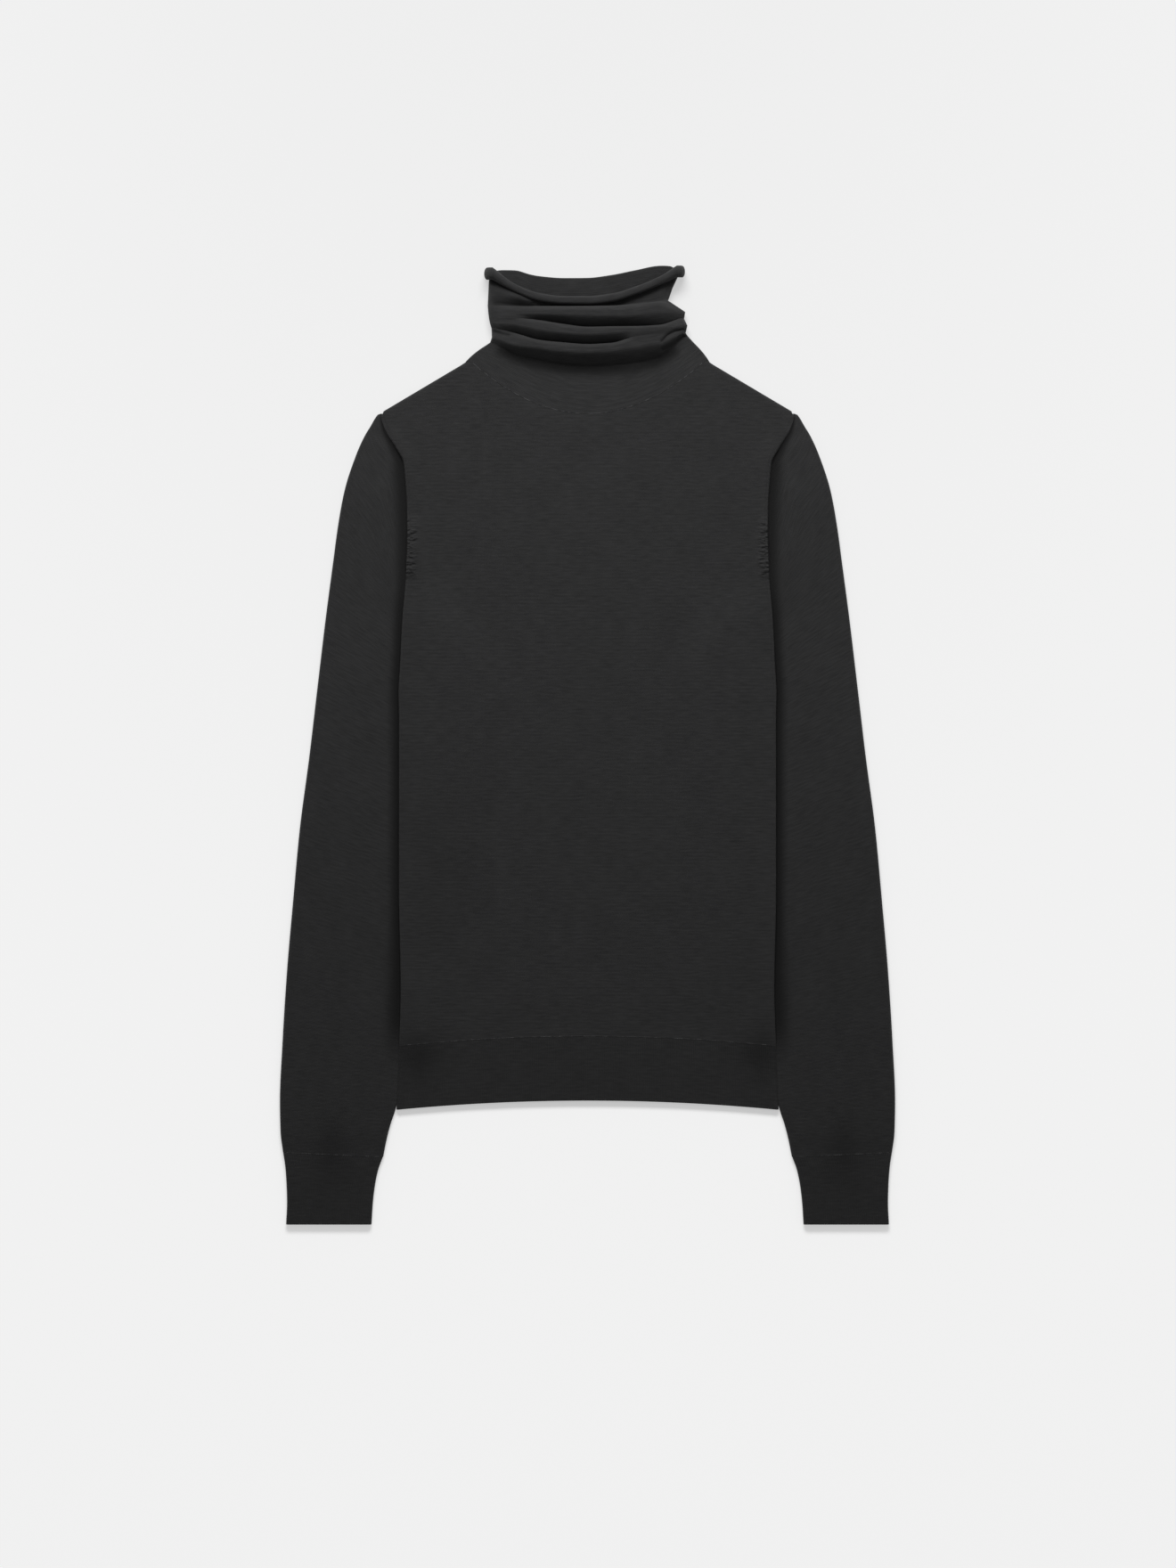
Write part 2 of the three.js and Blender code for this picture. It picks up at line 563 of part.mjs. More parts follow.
// One point of a flattened tube whose section runs from an outer to an inner edge on the table
function tubePoint(section, column) {
  const upper = section.upperHeight;
  const span = section.inner.clone().sub(section.outer);
  const width = span.length();
  const way = span.normalize();
  const foldRise = (edgePart) => upper(edgePart) - BACK_LAYER;
  const outerReach = Math.min(FOLD_REACH, foldRise(0) / 2);
  const innerReach = Math.min(FOLD_REACH, foldRise(1) / 2);
  const start = section.inset * (HALF_WALL + outerReach);
  const end = width - section.inset * (HALF_WALL + innerReach);
  let distance = mix(start, end, column.part);
  if (column.zone === 'inner') distance += innerReach * Math.sin(column.turn);
  if (column.zone === 'outer') distance -= outerReach * Math.sin(column.turn);
  const flat = section.outer.clone().addScaledVector(way, distance).add(section.bow(column.part));
  const raised = (1 + Math.cos(column.turn)) / 2;
  const height = mix(BACK_LAYER, upper(column.part, flat), raised);
  return { flat, height, raised };
}

// One point of the right sleeve
function sleevePoint(column, row) {
  const outerBase = armholeAt(0).addScaledVector(armholeOutward(0), SEAM_REACH);
  const innerBase = armholeAt(1).addScaledVector(armholeOutward(1), SEAM_REACH);
  const atArmhole = row.seam !== undefined;
  const outer = atArmhole
    ? outerBase
    : new THREE.Vector2(along(SLEEVE_OUTER, 'y', row.outerY, 'x'), row.outerY);
  const inner = atArmhole
    ? innerBase
    : new THREE.Vector2(along(SLEEVE_INNER, 'y', row.innerY, 'x'), row.innerY);
  const bowed = atArmhole ? 1 : ramp(row.outerY, ARMHOLE_BOW);
  const bow = (part) => {
    const chord = outerBase.clone().lerp(innerBase, part);
    const curve = armholeAt(part).addScaledVector(armholeOutward(part), SEAM_REACH);
    return curve.sub(chord).multiplyScalar(bowed);
  };
  const flatAt = (part) => outer.clone().lerp(inner, part).add(bow(part));
  const upperHeight = (part, flat = flatAt(part)) => {
    const settled = sleeveHeight(flat.x, flat.y);
    return atArmhole ? mix(rimAt(part).height, settled, rimProgress(part, row.seam)) : settled;
  };
  const point = tubePoint({ outer, inner, bow, upperHeight, inset: atArmhole ? 0 : 1 }, column);
  if (atArmhole) {
    const rim = rimAt(column.part);
    const angle = rim.angle * point.raised;
    const beside = CURVED_SEAM_GAP * Math.cos(angle) - HALF_WALL * Math.sin(angle);
    const rimOut = beside + FOLD_CLEARANCE * Math.sin(column.turn);
    const progress = mix(row.seam, 1 - Math.cos(QUARTER_TURN * row.seam), angle / QUARTER_TURN);
    const back = (SEAM_REACH - rimOut) * (1 - progress);
    point.flat.addScaledVector(armholeOutward(column.part), -back);
  }
  return new THREE.Vector3(point.flat.x, point.flat.y, point.height);
}

// Where the sleeve's upper rim starts, carrying on from the front's turned edge
function rimAt(part) {
  const edge = armholeAt(part);
  const angle = frontEdgeAngle(edge.y);
  const length = FRONT.sideLength(edge.y);
  const fall = bend(angle, length, length).down;
  const height = frontHeight(edge.x, edge.y) - fall - CURVED_SEAM_GAP * Math.sin(angle);
  return { angle, height };
}

// How far down the sleeve has come from its rim, steep at first where the edge is turned
function rimProgress(part, seam) {
  const steep = rimAt(part).angle / QUARTER_TURN;
  return mix(smooth(seam), Math.sin(QUARTER_TURN * seam), steep);
}

function sleeveWall() {
  const seamRows = SEAM_STEPS.map((seam) => ({ seam }));
  const parts = ARMHOLE_ROWS.map((y) => (SIDE_TOP - y) / (SIDE_TOP - UNDERARM_Y)).reverse();
  return clothWall({
    rows: [...seamRows, ...SLEEVE_RINGS],
    outer: tubeColumns(parts, [...parts].reverse()),
    closed: true,
    pointAt: sleevePoint,
  });
}

// One point of the right cuff
function cuffPoint(column, row) {
  const seamY = (x) => SLEEVE_OUTER[0].y + CUFF_SEAM_SLOPE * (SLEEVE_OUTER[0].x - x) - CURVED_SEAM_GAP;
  const endY = CUFF_EDGES[0].y;
  const yOf = (x) => mix(seamY(x), endY, row.part);
  const guide = mix(CUFF_EDGES.at(-1).y, endY, row.part);
  const outerX = along(CUFF_EDGES, 'y', guide, 'outer');
  const innerX = along(CUFF_EDGES, 'y', guide, 'inner');
  const outer = new THREE.Vector2(outerX, yOf(outerX));
  const inner = new THREE.Vector2(innerX, yOf(innerX));
  const seamHeight = (x) => sleeveHeight(x, SLEEVE_OUTER[0].y);
  const upperHeight = (part) => {
    const x = mix(outerX, innerX, part);
    return mix(seamHeight(x), CUFF_TOP, ramp(row.part, CUFF_RISE));
  };
  const section = { outer, inner, bow: () => new THREE.Vector2(), upperHeight, inset: 1 };
  const point = tubePoint(section, column);
  return new THREE.Vector3(point.flat.x, point.flat.y, point.height);
}

const CUFF_ROWS = [0, 0.3, 1];
const CUFF_PLAIN_STEPS = 8;

function cuffWall() {
  const width = CUFF_EDGES[2].outer - CUFF_EDGES[2].inner;
  const ribParts = ribbedColumns(width).map((value) => (value + 1) / 2);
  const crests = new Set(ribParts.filter((_, i) => i % 2 === 1));
  return clothWall({
    rows: CUFF_ROWS.map((part) => ({ part })),
    outer: tubeColumns(ribParts, evenly(1, 0, CUFF_PLAIN_STEPS)),
    inner: tubeColumns(evenly(0, 1, CUFF_PLAIN_STEPS), evenly(1, 0, CUFF_PLAIN_STEPS)),
    closed: true,
    pointAt: cuffPoint,
    relief: (column) => (column.zone === 'upper' && crests.has(column.part) ? RIB_RELIEF : 0),
  });
}

// A place on the neck seam, a gap above the straight runs between a panel's neck columns
function neckSeamY(x, { neckColumns, neckLow }) {
  const reach = Math.min(Math.abs(x), NECK_POINT.x);
  const i = Math.max(1, neckColumns.findIndex((column) => column >= reach - 1e-9));
  const run = neckColumns[i] - neckColumns[i - 1];
  const start = topEdge(neckColumns[i - 1], neckLow);
  const rise = topEdge(neckColumns[i], neckLow) - start;
  const part = (reach - neckColumns[i - 1]) / run;
  return start + rise * part + CURVED_SEAM_GAP * Math.hypot(1, rise / run);
}

// The neck seam's row of the collar
function neckSeamRow() {
  const places = Object.fromEntries(COLLAR_NAMES.map((name, i) => (
    [name, neckSeamY(COLLAR_STATIONS[i], FRONT)]
  )));
  const heights = Object.fromEntries(COLLAR_NAMES.map((name) => [name, SHOULDER_TOP]));
  const sideY = NECK_POINT.y + CURVED_SEAM_GAP;
  return {
    place: { leftX: -NECK_POINT.x, leftY: sideY, ...places, rightX: NECK_POINT.x, rightY: sideY },
    height: { left: SHOULDER_TOP, ...heights, right: SHOULDER_TOP, back: BACK_LAYER },
  };
}

// Rows between two lines of the collar, and how round the rise between them is
const COLLAR_STEPS = {
  flat: [0.35, 0.7, 1],
  foot: [0.5, 1],
  ridge: [0.3, 0.65, 1],
  crease: [0.4, 0.75, 1],
  slope: [1],
  roll: [0.5, 1],
};

const RIDGE_ROUND = 1.5;
const CREASE_STEEP = 3;

// Part of a rise reached at a part of its run: round where it meets a ridge, steep at a crease
function riseProfile(kind, part) {
  if (kind === 'ridge') return 1 - (1 - part) ** RIDGE_ROUND;
  if (kind === 'crease') return part ** CREASE_STEEP;
  return part;
}

// Every row of the collar up to the roll, as places and heights at the stations and sides
function collarRows() {
  const lines = [neckSeamRow()];
  COLLAR_PLACES.forEach((place, i) => lines.push({ place, height: COLLAR_HEIGHTS[i] }));
  const rows = [{ ...lines[0], rank: 0, turned: 0 }];
  for (let i = 1; i < lines.length; i += 1) {
    const kind = lines[i].place.line;
    for (const part of COLLAR_STEPS[kind]) {
      const place = {};
      const height = {};
      for (const key of Object.keys(lines[0].place)) {
        place[key] = mix(lines[i - 1].place[key], lines[i].place[key], part);
      }
      for (const key of Object.keys(lines[0].height)) {
        height[key] = mix(lines[i - 1].height[key], lines[i].height[key], riseProfile(kind, part));
      }
      rows.push({ place, height, rank: (i - 1 + part) / (lines.length - 1), turned: 0 });
    }
  }
  const last = rows.at(-1);
  for (const turned of evenly(0, 1, ROLL_STEPS).slice(1)) rows.push({ ...last, turned });
  return rows;
}

// Columns around the collar: front from left to right, right side, back, left side
const COLLAR_COUNTS = { front: 16, side: 4, back: 6 };

function collarColumns() {
  const fronts = evenly(0, 1, COLLAR_COUNTS.front).map((part) => ({ zone: 'front', part, turn: 0 }));
  const turns = evenly(0, Math.PI, COLLAR_COUNTS.side).slice(1, -1);
  const rights = turns.map((turn) => ({ zone: 'right', part: 1, turn }));
  const backs = evenly(1, 0, COLLAR_COUNTS.back).map((part) => ({ zone: 'back', part, turn: Math.PI }));
  const lefts = [...turns].reverse().map((turn) => ({ zone: 'left', part: 0, turn }));
  const columns = [...fronts, ...rights, ...backs, ...lefts];
  columns.forEach((column, i) => {
    column.place = i;
  });
  return columns;
}

// Value of a collar row's stations at a place across, with its two sides as the ends
function acrossCollar(left, stations, right, x) {
  const middle = COLLAR_NAMES.map((name, i) => ({ x: COLLAR_STATIONS[i], v: stations[name] }));
  return along([left, ...middle, right], 'x', x, 'v');
}

// One point of the collar
function collarPoint(column, row) {
  const { place, height } = row;
  const rise = Math.max(height.left, height.right) - height.back;
  const reach = Math.min(COLLAR_SIDE.reach, rise * COLLAR_SIDE.roundness);
  const leftX = place.leftX + HALF_WALL + reach;
  const rightX = place.rightX - HALF_WALL - reach;
  const x = mix(leftX, rightX, column.part);
  const sideways = Math.sin(column.turn) * (column.zone === 'left' ? -1 : 1);
  const seamX = x + reach * sideways;
  const left = (v) => ({ x: leftX, v });
  const right = (v) => ({ x: rightX, v });
  const curveY = acrossCollar(left(place.leftY), place, right(place.rightY), x);
  const frontY = row.rank === 0 ? neckSeamY(seamX, FRONT) : curveY;
  const frontZ = acrossCollar(left(height.left), height, right(height.right), x);
  const neckSag = (BACK_NECK_LOW - NECK_POINT.y) * 4 * column.part * (1 - column.part);
  const sag = mix(neckSag, along(BACK_RIM, 'part', column.part, 'sag'), row.rank);
  const level = mix(place.leftY, place.rightY, column.part);
  const backY = row.rank === 0 ? neckSeamY(seamX, BACK) : level + sag;
  const raised = (1 + Math.cos(column.turn)) / 2;
  const point = new THREE.Vector3(seamX, mix(backY, frontY, raised), mix(height.back, frontZ, raised));
  if (row.turned === 0) return point;
  const outward = new THREE.Vector3(sideways, 0, Math.cos(column.turn)).normalize();
  const upright = Math.cos(column.turn);
  const fronts = acrossCollar(left(ROLL_RADIUS.left), ROLL_RADIUS, right(ROLL_RADIUS.right), x);
  const radius = upright > 0 ? fronts : mix(fronts, ROLL_RADIUS.back, -upright);
  const atBack = column.zone === 'back';
  const turn = atBack ? Math.min(Math.PI, ROLL_TURN * row.turned) : ROLL_TURN * row.turned;
  point.y += radius * Math.sin(turn);
  point.addScaledVector(outward, radius * (1 - Math.cos(turn)));
  const halfTurn = Math.PI / ROLL_TURN;
  const spare = Math.max(0, row.turned - halfTurn);
  if (atBack) point.y -= (ROLL_UNDER * spare) / (1 - halfTurn);
  return point;
}

function collarWall() {
  return clothWall({
    rows: collarRows(),
    outer: collarColumns(),
    closed: true,
    pointAt: collarPoint,
  });
}

// A copy of a right-hand piece for the left, with its faces turned the right way out
function mirrored(geometry) {
  const copy = geometry.clone();
  copy.scale(-1, 1, 1);
  const position = copy.getAttribute('position');
  for (let i = 0; i < position.count; i += 3) {
    const swap = [position.getX(i), position.getY(i), position.getZ(i)];
    position.setXYZ(i, position.getX(i + 2), position.getY(i + 2), position.getZ(i + 2));
    position.setXYZ(i + 2, ...swap);
  }
  copy.computeVertexNormals();
  return copy;
}

// Charcoal knit for the plain pieces, and the same yarn a little darker in its ribs
const knit = new THREE.MeshStandardMaterial({ color: 0x2f2f30, roughness: 0.92, metalness: 0 });
const rib = new THREE.MeshStandardMaterial({ color: 0x2a2a2b, roughness: 0.94, metalness: 0 });

function piece(name, geometry, material) {
  const mesh = new THREE.Mesh(geometry, material);
  mesh.name = name;
  return mesh;
}

const sleeve = sleeveWall();
const cuff = cuffWall();

const sweater = new THREE.Group();
sweater.add(piece('front', panelWall(FRONT), knit));
sweater.add(piece('back', panelWall(BACK), knit));
sweater.add(piece('hem_front', hemWall(FRONT, true), rib));
sweater.add(piece('hem_back', hemWall(BACK, false), rib));
sweater.add(piece('sleeve_right', sleeve, knit));
sweater.add(piece('sleeve_left', mirrored(sleeve), knit));
sweater.add(piece('cuff_right', cuff, rib));
sweater.add(piece('cuff_left', mirrored(cuff), rib));
sweater.add(piece('collar', collarWall(), knit));

export default sweater;
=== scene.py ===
"""Turtleneck sweater in fine charcoal knit, laid flat on its back on a pale floor.

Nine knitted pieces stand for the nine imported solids, and rows of linking stitches join them.
The tables are in millimetres, and every piece is made in metres in the frame's own axes.
"""

import math

import bmesh
import bpy
import numpy as np
from bpy.props import FloatProperty, FloatVectorProperty, PointerProperty
from mathutils import Matrix, Vector


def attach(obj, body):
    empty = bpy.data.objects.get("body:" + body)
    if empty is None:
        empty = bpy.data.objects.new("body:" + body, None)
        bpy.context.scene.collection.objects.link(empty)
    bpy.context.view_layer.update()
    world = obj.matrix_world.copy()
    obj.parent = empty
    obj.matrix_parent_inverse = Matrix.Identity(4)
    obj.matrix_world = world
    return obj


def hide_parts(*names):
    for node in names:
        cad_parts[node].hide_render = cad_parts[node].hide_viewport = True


bl_info = {
    "name": "Turtleneck sweater",
    "version": (1, 0, 0),
    "blender": (4, 5, 0),
    "location": "View3D > Sidebar > Sweater",
    "description": "Makes a fine-knit turtleneck sweater laid flat",
    "category": "Object",
}

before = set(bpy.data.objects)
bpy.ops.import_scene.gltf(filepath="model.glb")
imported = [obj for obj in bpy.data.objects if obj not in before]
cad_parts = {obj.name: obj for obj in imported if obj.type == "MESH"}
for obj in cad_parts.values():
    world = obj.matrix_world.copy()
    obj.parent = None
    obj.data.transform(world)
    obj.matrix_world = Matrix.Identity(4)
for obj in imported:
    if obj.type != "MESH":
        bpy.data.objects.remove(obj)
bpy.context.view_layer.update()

MM = 0.001
QUARTER = math.pi / 2

# Cloth and seams, in millimetres
WALL = 1.2
HALF_WALL = WALL / 2
SEAM_GAP = 0.03
RIB_RELIEF = 0.35
STITCH_WIDTH = 0.75
STITCH_HEIGHT = 0.5
STITCH_SLANT = 0.25
STITCH_SHARE = 0.56
LINKING_INSET = 3

# Depth of the stitch relief in metres
PLAIN_RELIEF = 0.00025
RIBBED_RELIEF = 0.0002

# Heights of the middle of each layer above the floor
BACK_LAYER = 0.6
FRONT_LAYER = 3.4
TUCK_LIFT = 3.6
ARMHOLE_SWELL = 2.2
SLEEVE_TOP = 4.3
SHOULDER_TOP = 3.9
VALLEY_DEPTH = 1.9
VALLEY_SHALLOW = 1.1
CUFF_TOP = 4.0
CUFF_SEAM_FALL = 0.6

# Radii of the edges that turn to meet another piece
SIDE_RADIUS = 1.5
ARMHOLE_RADIUS = 1.3
HEM_BACK_RADIUS = 1.1
TUCK_BACK_RADIUS = 1.0
UNDERARM_BACK_RADIUS = 3.4
SHOULDER_RADIUS = 1.5

# Corners of the body: half widths and heights on the floor plane
SHOULDER_X, SHOULDER_Y = 175.1, 279.6
NECK_X, NECK_Y = 99.5, 324.5
COLLAR_X = 103.0
UNDERARM_Y = 148.0
FRONT_NECK_LOW = 279.5
BACK_NECK_LOW = 309.0
HEM_SEAM = {"y": -244.7, "drop": 7.9, "half": 158.5}
HEM_END = {"y": -299.0, "drop": 7.6, "half": 161.0}
SHOULDER_FALL = (NECK_Y - SHOULDER_Y) / (SHOULDER_X - NECK_X)
SHOULDER_SKEW = math.hypot(1, SHOULDER_FALL)
SIDE_TOP = SHOULDER_Y - (HALF_WALL + SHOULDER_RADIUS) * SHOULDER_SKEW

# Stretches in which a height changes: up the body, or across from a fold or an edge
TUCK_END = (-275, -238)
FRONT_TUCK = (-60, -16)
BACK_TUCK = (-48, -14)
SWELL_ACROSS = (-22, -4)
SWELL_START = (100, 120)
SWELL_END = (276, 240)
TROUGH_EDGE = (4, 30)
NECK_RISE = (30, 0)
SLEEVE_CAP = (250, 278)
CUFF_FALL = (-328, -344)
VALLEY_ACROSS = (14, 1)
VALLEY_END = (-200, -232)


def mix(a, b, part):
    """Part of the way from one value to another."""
    return a + (b - a) * part


def smooth(part):
    """A smooth step from 0 to 1."""
    t = np.clip(part, 0, 1)
    return t * t * (3 - 2 * t)


def ramp(place, start, end):
    """How far a place has come along a stretch."""
    return smooth((place - start) / (end - start))


class Curve:
    """A smooth curve through a table of places and values that never overshoots them."""

    def __init__(self, places, values):
        self.places = np.array(places, float)
        self.values = np.array(values, float)
        slopes = np.diff(self.values) / np.diff(self.places)
        before, after = slopes[:-1], slopes[1:]
        total = np.where(before * after > 0, before + after, 1)
        inner = np.where(before * after > 0, 2 * before * after / total, 0)
        self.slopes = np.concatenate([slopes[:1], inner, slopes[-1:]])

    def __call__(self, place):
        place = np.clip(place, self.places[0], self.places[-1])
        i = np.clip(np.searchsorted(self.places, place) - 1, 0, len(self.places) - 2)
        run = self.places[i + 1] - self.places[i]
        t = (place - self.places[i]) / run
        rise = self.values[i + 1] - self.values[i]
        first, last = self.slopes[i] * run, self.slopes[i + 1] * run
        cubic = (first + last - 2 * rise) * t**3 + (3 * rise - 2 * first - last) * t**2
        return self.values[i] + first * t + cubic


def curve_of(rows):
    """A curve through rows of place and value."""
    return Curve([row[0] for row in rows], [row[1] for row in rows])


# Outer face of the body's side edge and armhole seam: height and half width
BODY_EDGE = curve_of([
    (-306.6, 161), (-285, 160.2), (-250, 158.5), (-205, 157.2), (-120, 158.7), (20, 158.6),
    (45, 159), (65, 157.9), (110, 155.6), (132, 153.6), (148, 152.6), (178, 151.6),
    (200, 151.8), (222, 153.2), (238, 154.8), (249, 160.5), (266, 170.4), (279.6, 175.1),
])

# Outer edge of the sleeve, and its inner fold that runs under the body's side: height and place across
SLEEVE_OUTER = curve_of([
    (-342.6, 256.5), (-325, 258.6), (-300, 259.1), (-250, 256.9), (-190, 253.1), (-130, 247.9),
    (-70, 242.3), (-10, 234.4), (50, 227.3), (110, 220.1), (155, 214.1), (185, 210),
    (215, 204.4), (245, 194.6), (260, 187.9), (272, 180.6), (279.6, 175.1),
])
SLEEVE_INNER = curve_of([
    (-346.4, 172.1), (-331, 169), (-318, 165.6), (-308, 162.2), (-300, 160.3), (-285, 159.6),
    (-262, 158), (-250, 156), (-235, 153.6), (-215, 152.2),
    (-180, 149.5), (-110, 143), (-40, 130), (20, 118), (60, 116), (92, 134),
    (112, 145.5), (125, 150), (134, 151.3), (142, 151.7), (146.5, 152), (148, 152.6),
])

# Rings of the sleeve: heights where they meet its outer edge and its inner fold
SLEEVE_RINGS = [
    (266, 144.5), (250, 139), (232, 131), (212, 120), (188, 104), (160, 84),
    (126, 58), (84, 26), (34, -12), (-30, -68), (-104, -136), (-180, -204),
    (-246, -260), (-296, -303), (-324, -329), (-342.6, -346.4),
]
SEAM_REACH = 1.8
FOLD_REACH = 2.0

# How far the sleeve's upper rim goes under the body's edge, drops below it and rounds its folds
RIM_UNDER = 0.9
RIM_DROP = 0.25
RIM_ROUND = 0.3
SLEEVE_SEAM_Y = -342.6

# The cuff's two edges: height, place of the outer edge and of the inner edge
CUFF_OUTER = curve_of([(-403.3, 253.9), (-385, 253.1), (-370, 253.5), (-355, 254.6), (-343, 256.4)])
CUFF_INNER = curve_of([(-403.3, 181.9), (-385, 180.8), (-370, 179.2), (-355, 176.4), (-343, 172.4)])
CUFF_END_Y = -403.3
CUFF_TOP_Y = -343.0
CUFF_SEAM_SLOPE = -0.045
CUFF_WIDTH = 74.3

# Lengths of the ribs as laid
HEM_LENGTH = 54
CUFF_LENGTH = 60

# Soft troughs in the front's cloth: place, length, width, turn and depth
FRONT_TROUGHS = [
    (-116, -70, 70, 20, 1.35, 0.9),
    (112, -82, 62, 18, 1.75, 0.7),
    (16, -182, 44, 20, 0.5, 0.6),
    (-46, -150, 60, 16, 1.9, 0.45),
    (58, 40, 70, 20, 1.2, 0.45),
    (-64, 96, 66, 18, 1.9, 0.45),
]

# Soft spots of painted shade on the front, by the hem's corners and lower on the body: place, width, height
# and depth of shade
FRONT_PAINTED_SHADE = [
    (-143, -263, 15, 26, 0.4),
    (146, -258, 12, 26, 0.36),
    (-124, -100, 34, 66, 0.12),
    (118, -200, 26, 46, 0.06),
]

# Painted shade in the valley beside the body's edge: its reach, its narrow top and its depth, and a slight
# painted shade that grows down the sleeve
VALLEY_WEDGE = 0.36
SLEEVE_PAINTED_SHADE = 0.08
VALLEY_PAINTED_SHADE = 0.93
# Painted shade in the wrist dent: place, width, height and depth; then the dent itself
WRIST_PAINTED_SHADE = [(215, -346, 15, 24, 0.45)]
WRIST_DENT = {"x": 215, "y": -333, "half": 15, "reach": 34, "depth": 1.2}

# The collar's folds from its base to the roll at its mouth: where each line meets the left side,
# its heights on the picture plane at seven stations, and where it meets the right side
COLLAR_STATIONS = [-60, -40, -20, 0, 20, 40, 60]
COLLAR_PLACES = [
    ("flat", -89.8, 334, 322.5, 314, 309, 307, 308, 312, 319.5, 90.5, 338),
    ("foot", -82, 339, 330, 325.5, 322, 320.5, 321, 322.5, 327, 84.5, 344.5),
    ("ridge", -80.5, 343.5, 337.5, 335.5, 333, 332.3, 333.6, 337, 340, 82.5, 347),
    ("crease", -80.8, 351, 346.5, 340.5, 338.5, 337, 338, 343, 346.5, 83.3, 350.2),
    ("ridge", -82.3, 356, 354.5, 350.5, 347.8, 346.8, 347.8, 348.3, 349.5, 84, 353.2),
    ("crease", -83, 360, 358.5, 357, 354, 351.5, 351.8, 352, 353, 81.3, 359),
    ("ridge", -83.5, 364, 363, 363, 362.8, 362.8, 362.3, 363, 366, 82.2, 364.5),
    ("crease", -84, 370, 369, 369, 369, 369.2, 369.5, 371, 373, 67.8, 374),
    ("slope", -83.4, 383, 376.5, 372.6, 371.4, 371.5, 372.6, 377, 381.5, 71.5, 384.5),
    ("roll", -82.8, 396.2, 383.6, 376.3, 373.9, 373.7, 375.8, 381.7, 389.8, 78, 398),
]
COLLAR_HEIGHTS = [
    (3.9, 4.2, 4.3, 4.3, 4.3, 4.3, 4.3, 4.2, 3.9, 0.6),
    (4.8, 5.6, 5.6, 5.6, 5.6, 5.6, 5.6, 5.6, 5, 0.6),
    (8, 14, 16.6, 17.6, 17.8, 17.6, 17, 15.6, 9.4, 0.6),
    (7.8, 8.6, 8.6, 8.6, 8.6, 8.6, 16.9, 16.1, 9.7, 0.6),
    (9.6, 16, 18, 18.6, 18.6, 18.6, 18.2, 16.8, 10, 0.6),
    (9.6, 16, 11.6, 8.8, 8.6, 8.6, 8.6, 8.8, 8, 0.6),
    (9.6, 16.2, 18.2, 18.8, 18.8, 18.8, 18.2, 16.2, 9.4, 0.6),
    (8.4, 8.8, 8.6, 8.4, 8.4, 8.4, 8.6, 9.2, 7.8, 0.6),
    (10, 14.2, 10, 8.5, 8.4, 8.5, 9.1, 9.8, 7.8, 0.8),
    (7.6, 9.8, 9.1, 8.8, 8.7, 8.8, 9.2, 9.8, 7.6, 2.5),
]

# How far the collar's back rim sags below a straight line between its two sides
BACK_RIM = curve_of([
    (0, 0), (0.125, -0.7), (0.255, -4.6), (0.385, -6.8), (0.516, -7.1), (0.646, -5.2),
    (0.776, -1.8), (0.906, 1), (1, 0),
])

# How much further its rim alone rises towards the two ends
RIM_LIFT = curve_of([
    (0, 1.6), (0.05, 2.9), (0.12, 3), (0.2, 1.7), (0.38, 2.2), (0.52, 2.4), (0.65, 2.7),
    (0.78, 3.1), (0.89, 3.7), (0.96, 4), (1, 1.6),
])
RIM_LIFT_POWER = 8

# Presses in the collar's cloth and painted shade along them: a line on the picture plane, its half width,
# dent and painted shade. The last two have no dent: they are painted shadows, under the roll on the left
# and under the lowest fold
COLLAR_PRESSES_AND_SHADE = [
    ([(62, 339), (67, 344.5), (73, 348), (80, 349.5)], 1.4, 1.6, 0.75),
    ([(63, 333.5), (70, 337), (78, 343.5), (82, 347)], 1.6, 1, 0.7),
    ([(-78, 348), (-66, 344.5)], 1.7, 1.4, 0.7),
    ([(-77, 371.5), (-66, 371.5), (-48, 370)], 3, 0.5, 0.75),
    ([(-79, 386), (-57, 380.5)], 4.6, 0, 0.42),
    ([(-72, 332), (-60, 325), (-40, 319.5), (-20, 316.8), (0, 315.5), (20, 315.6), (40, 317), (58, 322),
      (72, 331)], 5.4, 0, 0.72),
]

ROLL_RADII = (4.6, 2.7, 2.8, 2.9, 3.0, 3.0, 2.9, 2.9, 4.4)
ROLL_SIDEWAYS = 0.46
ROLL_SQUARE_Y, ROLL_SQUARE_Z = 0.85, 0.6
ROLL_BACK = 0.95
ROLL_TURN = 1.5 * math.pi
ROLL_UNDER = 3.0
BASE_BULGE = 0.9
COLLAR_SIDE_REACH = 3.0
COLLAR_SIDE_ROUNDNESS = 0.45

# The soft lamp's place and aim in metres, how bright its light lies on the floor for each watt,
# and how much of the floor's tone its shadow takes away
KEY_PLACE = Vector((-0.05, 1.45, 1.15))
KEY_AIM = Vector((0, 0.05, 0))
FLOOR_GAIN = 0.0896
FLOOR_SHADOW = 0.28
FACING_LEAST = 0.01
PAINT_MOST = 0.95
KEY_SIZE = (1.2, 0.5)
FLOOR_HALF = 6

# The camera straight above: its distance, half the height of its view and its place, in metres
CAMERA_DISTANCE = 3.2
VIEW_HALF = 0.66
CAMERA_AIM = (0.0004, -0.0324)
FRONT_LEVEL = 0.004
SENSOR_WIDTH = 36


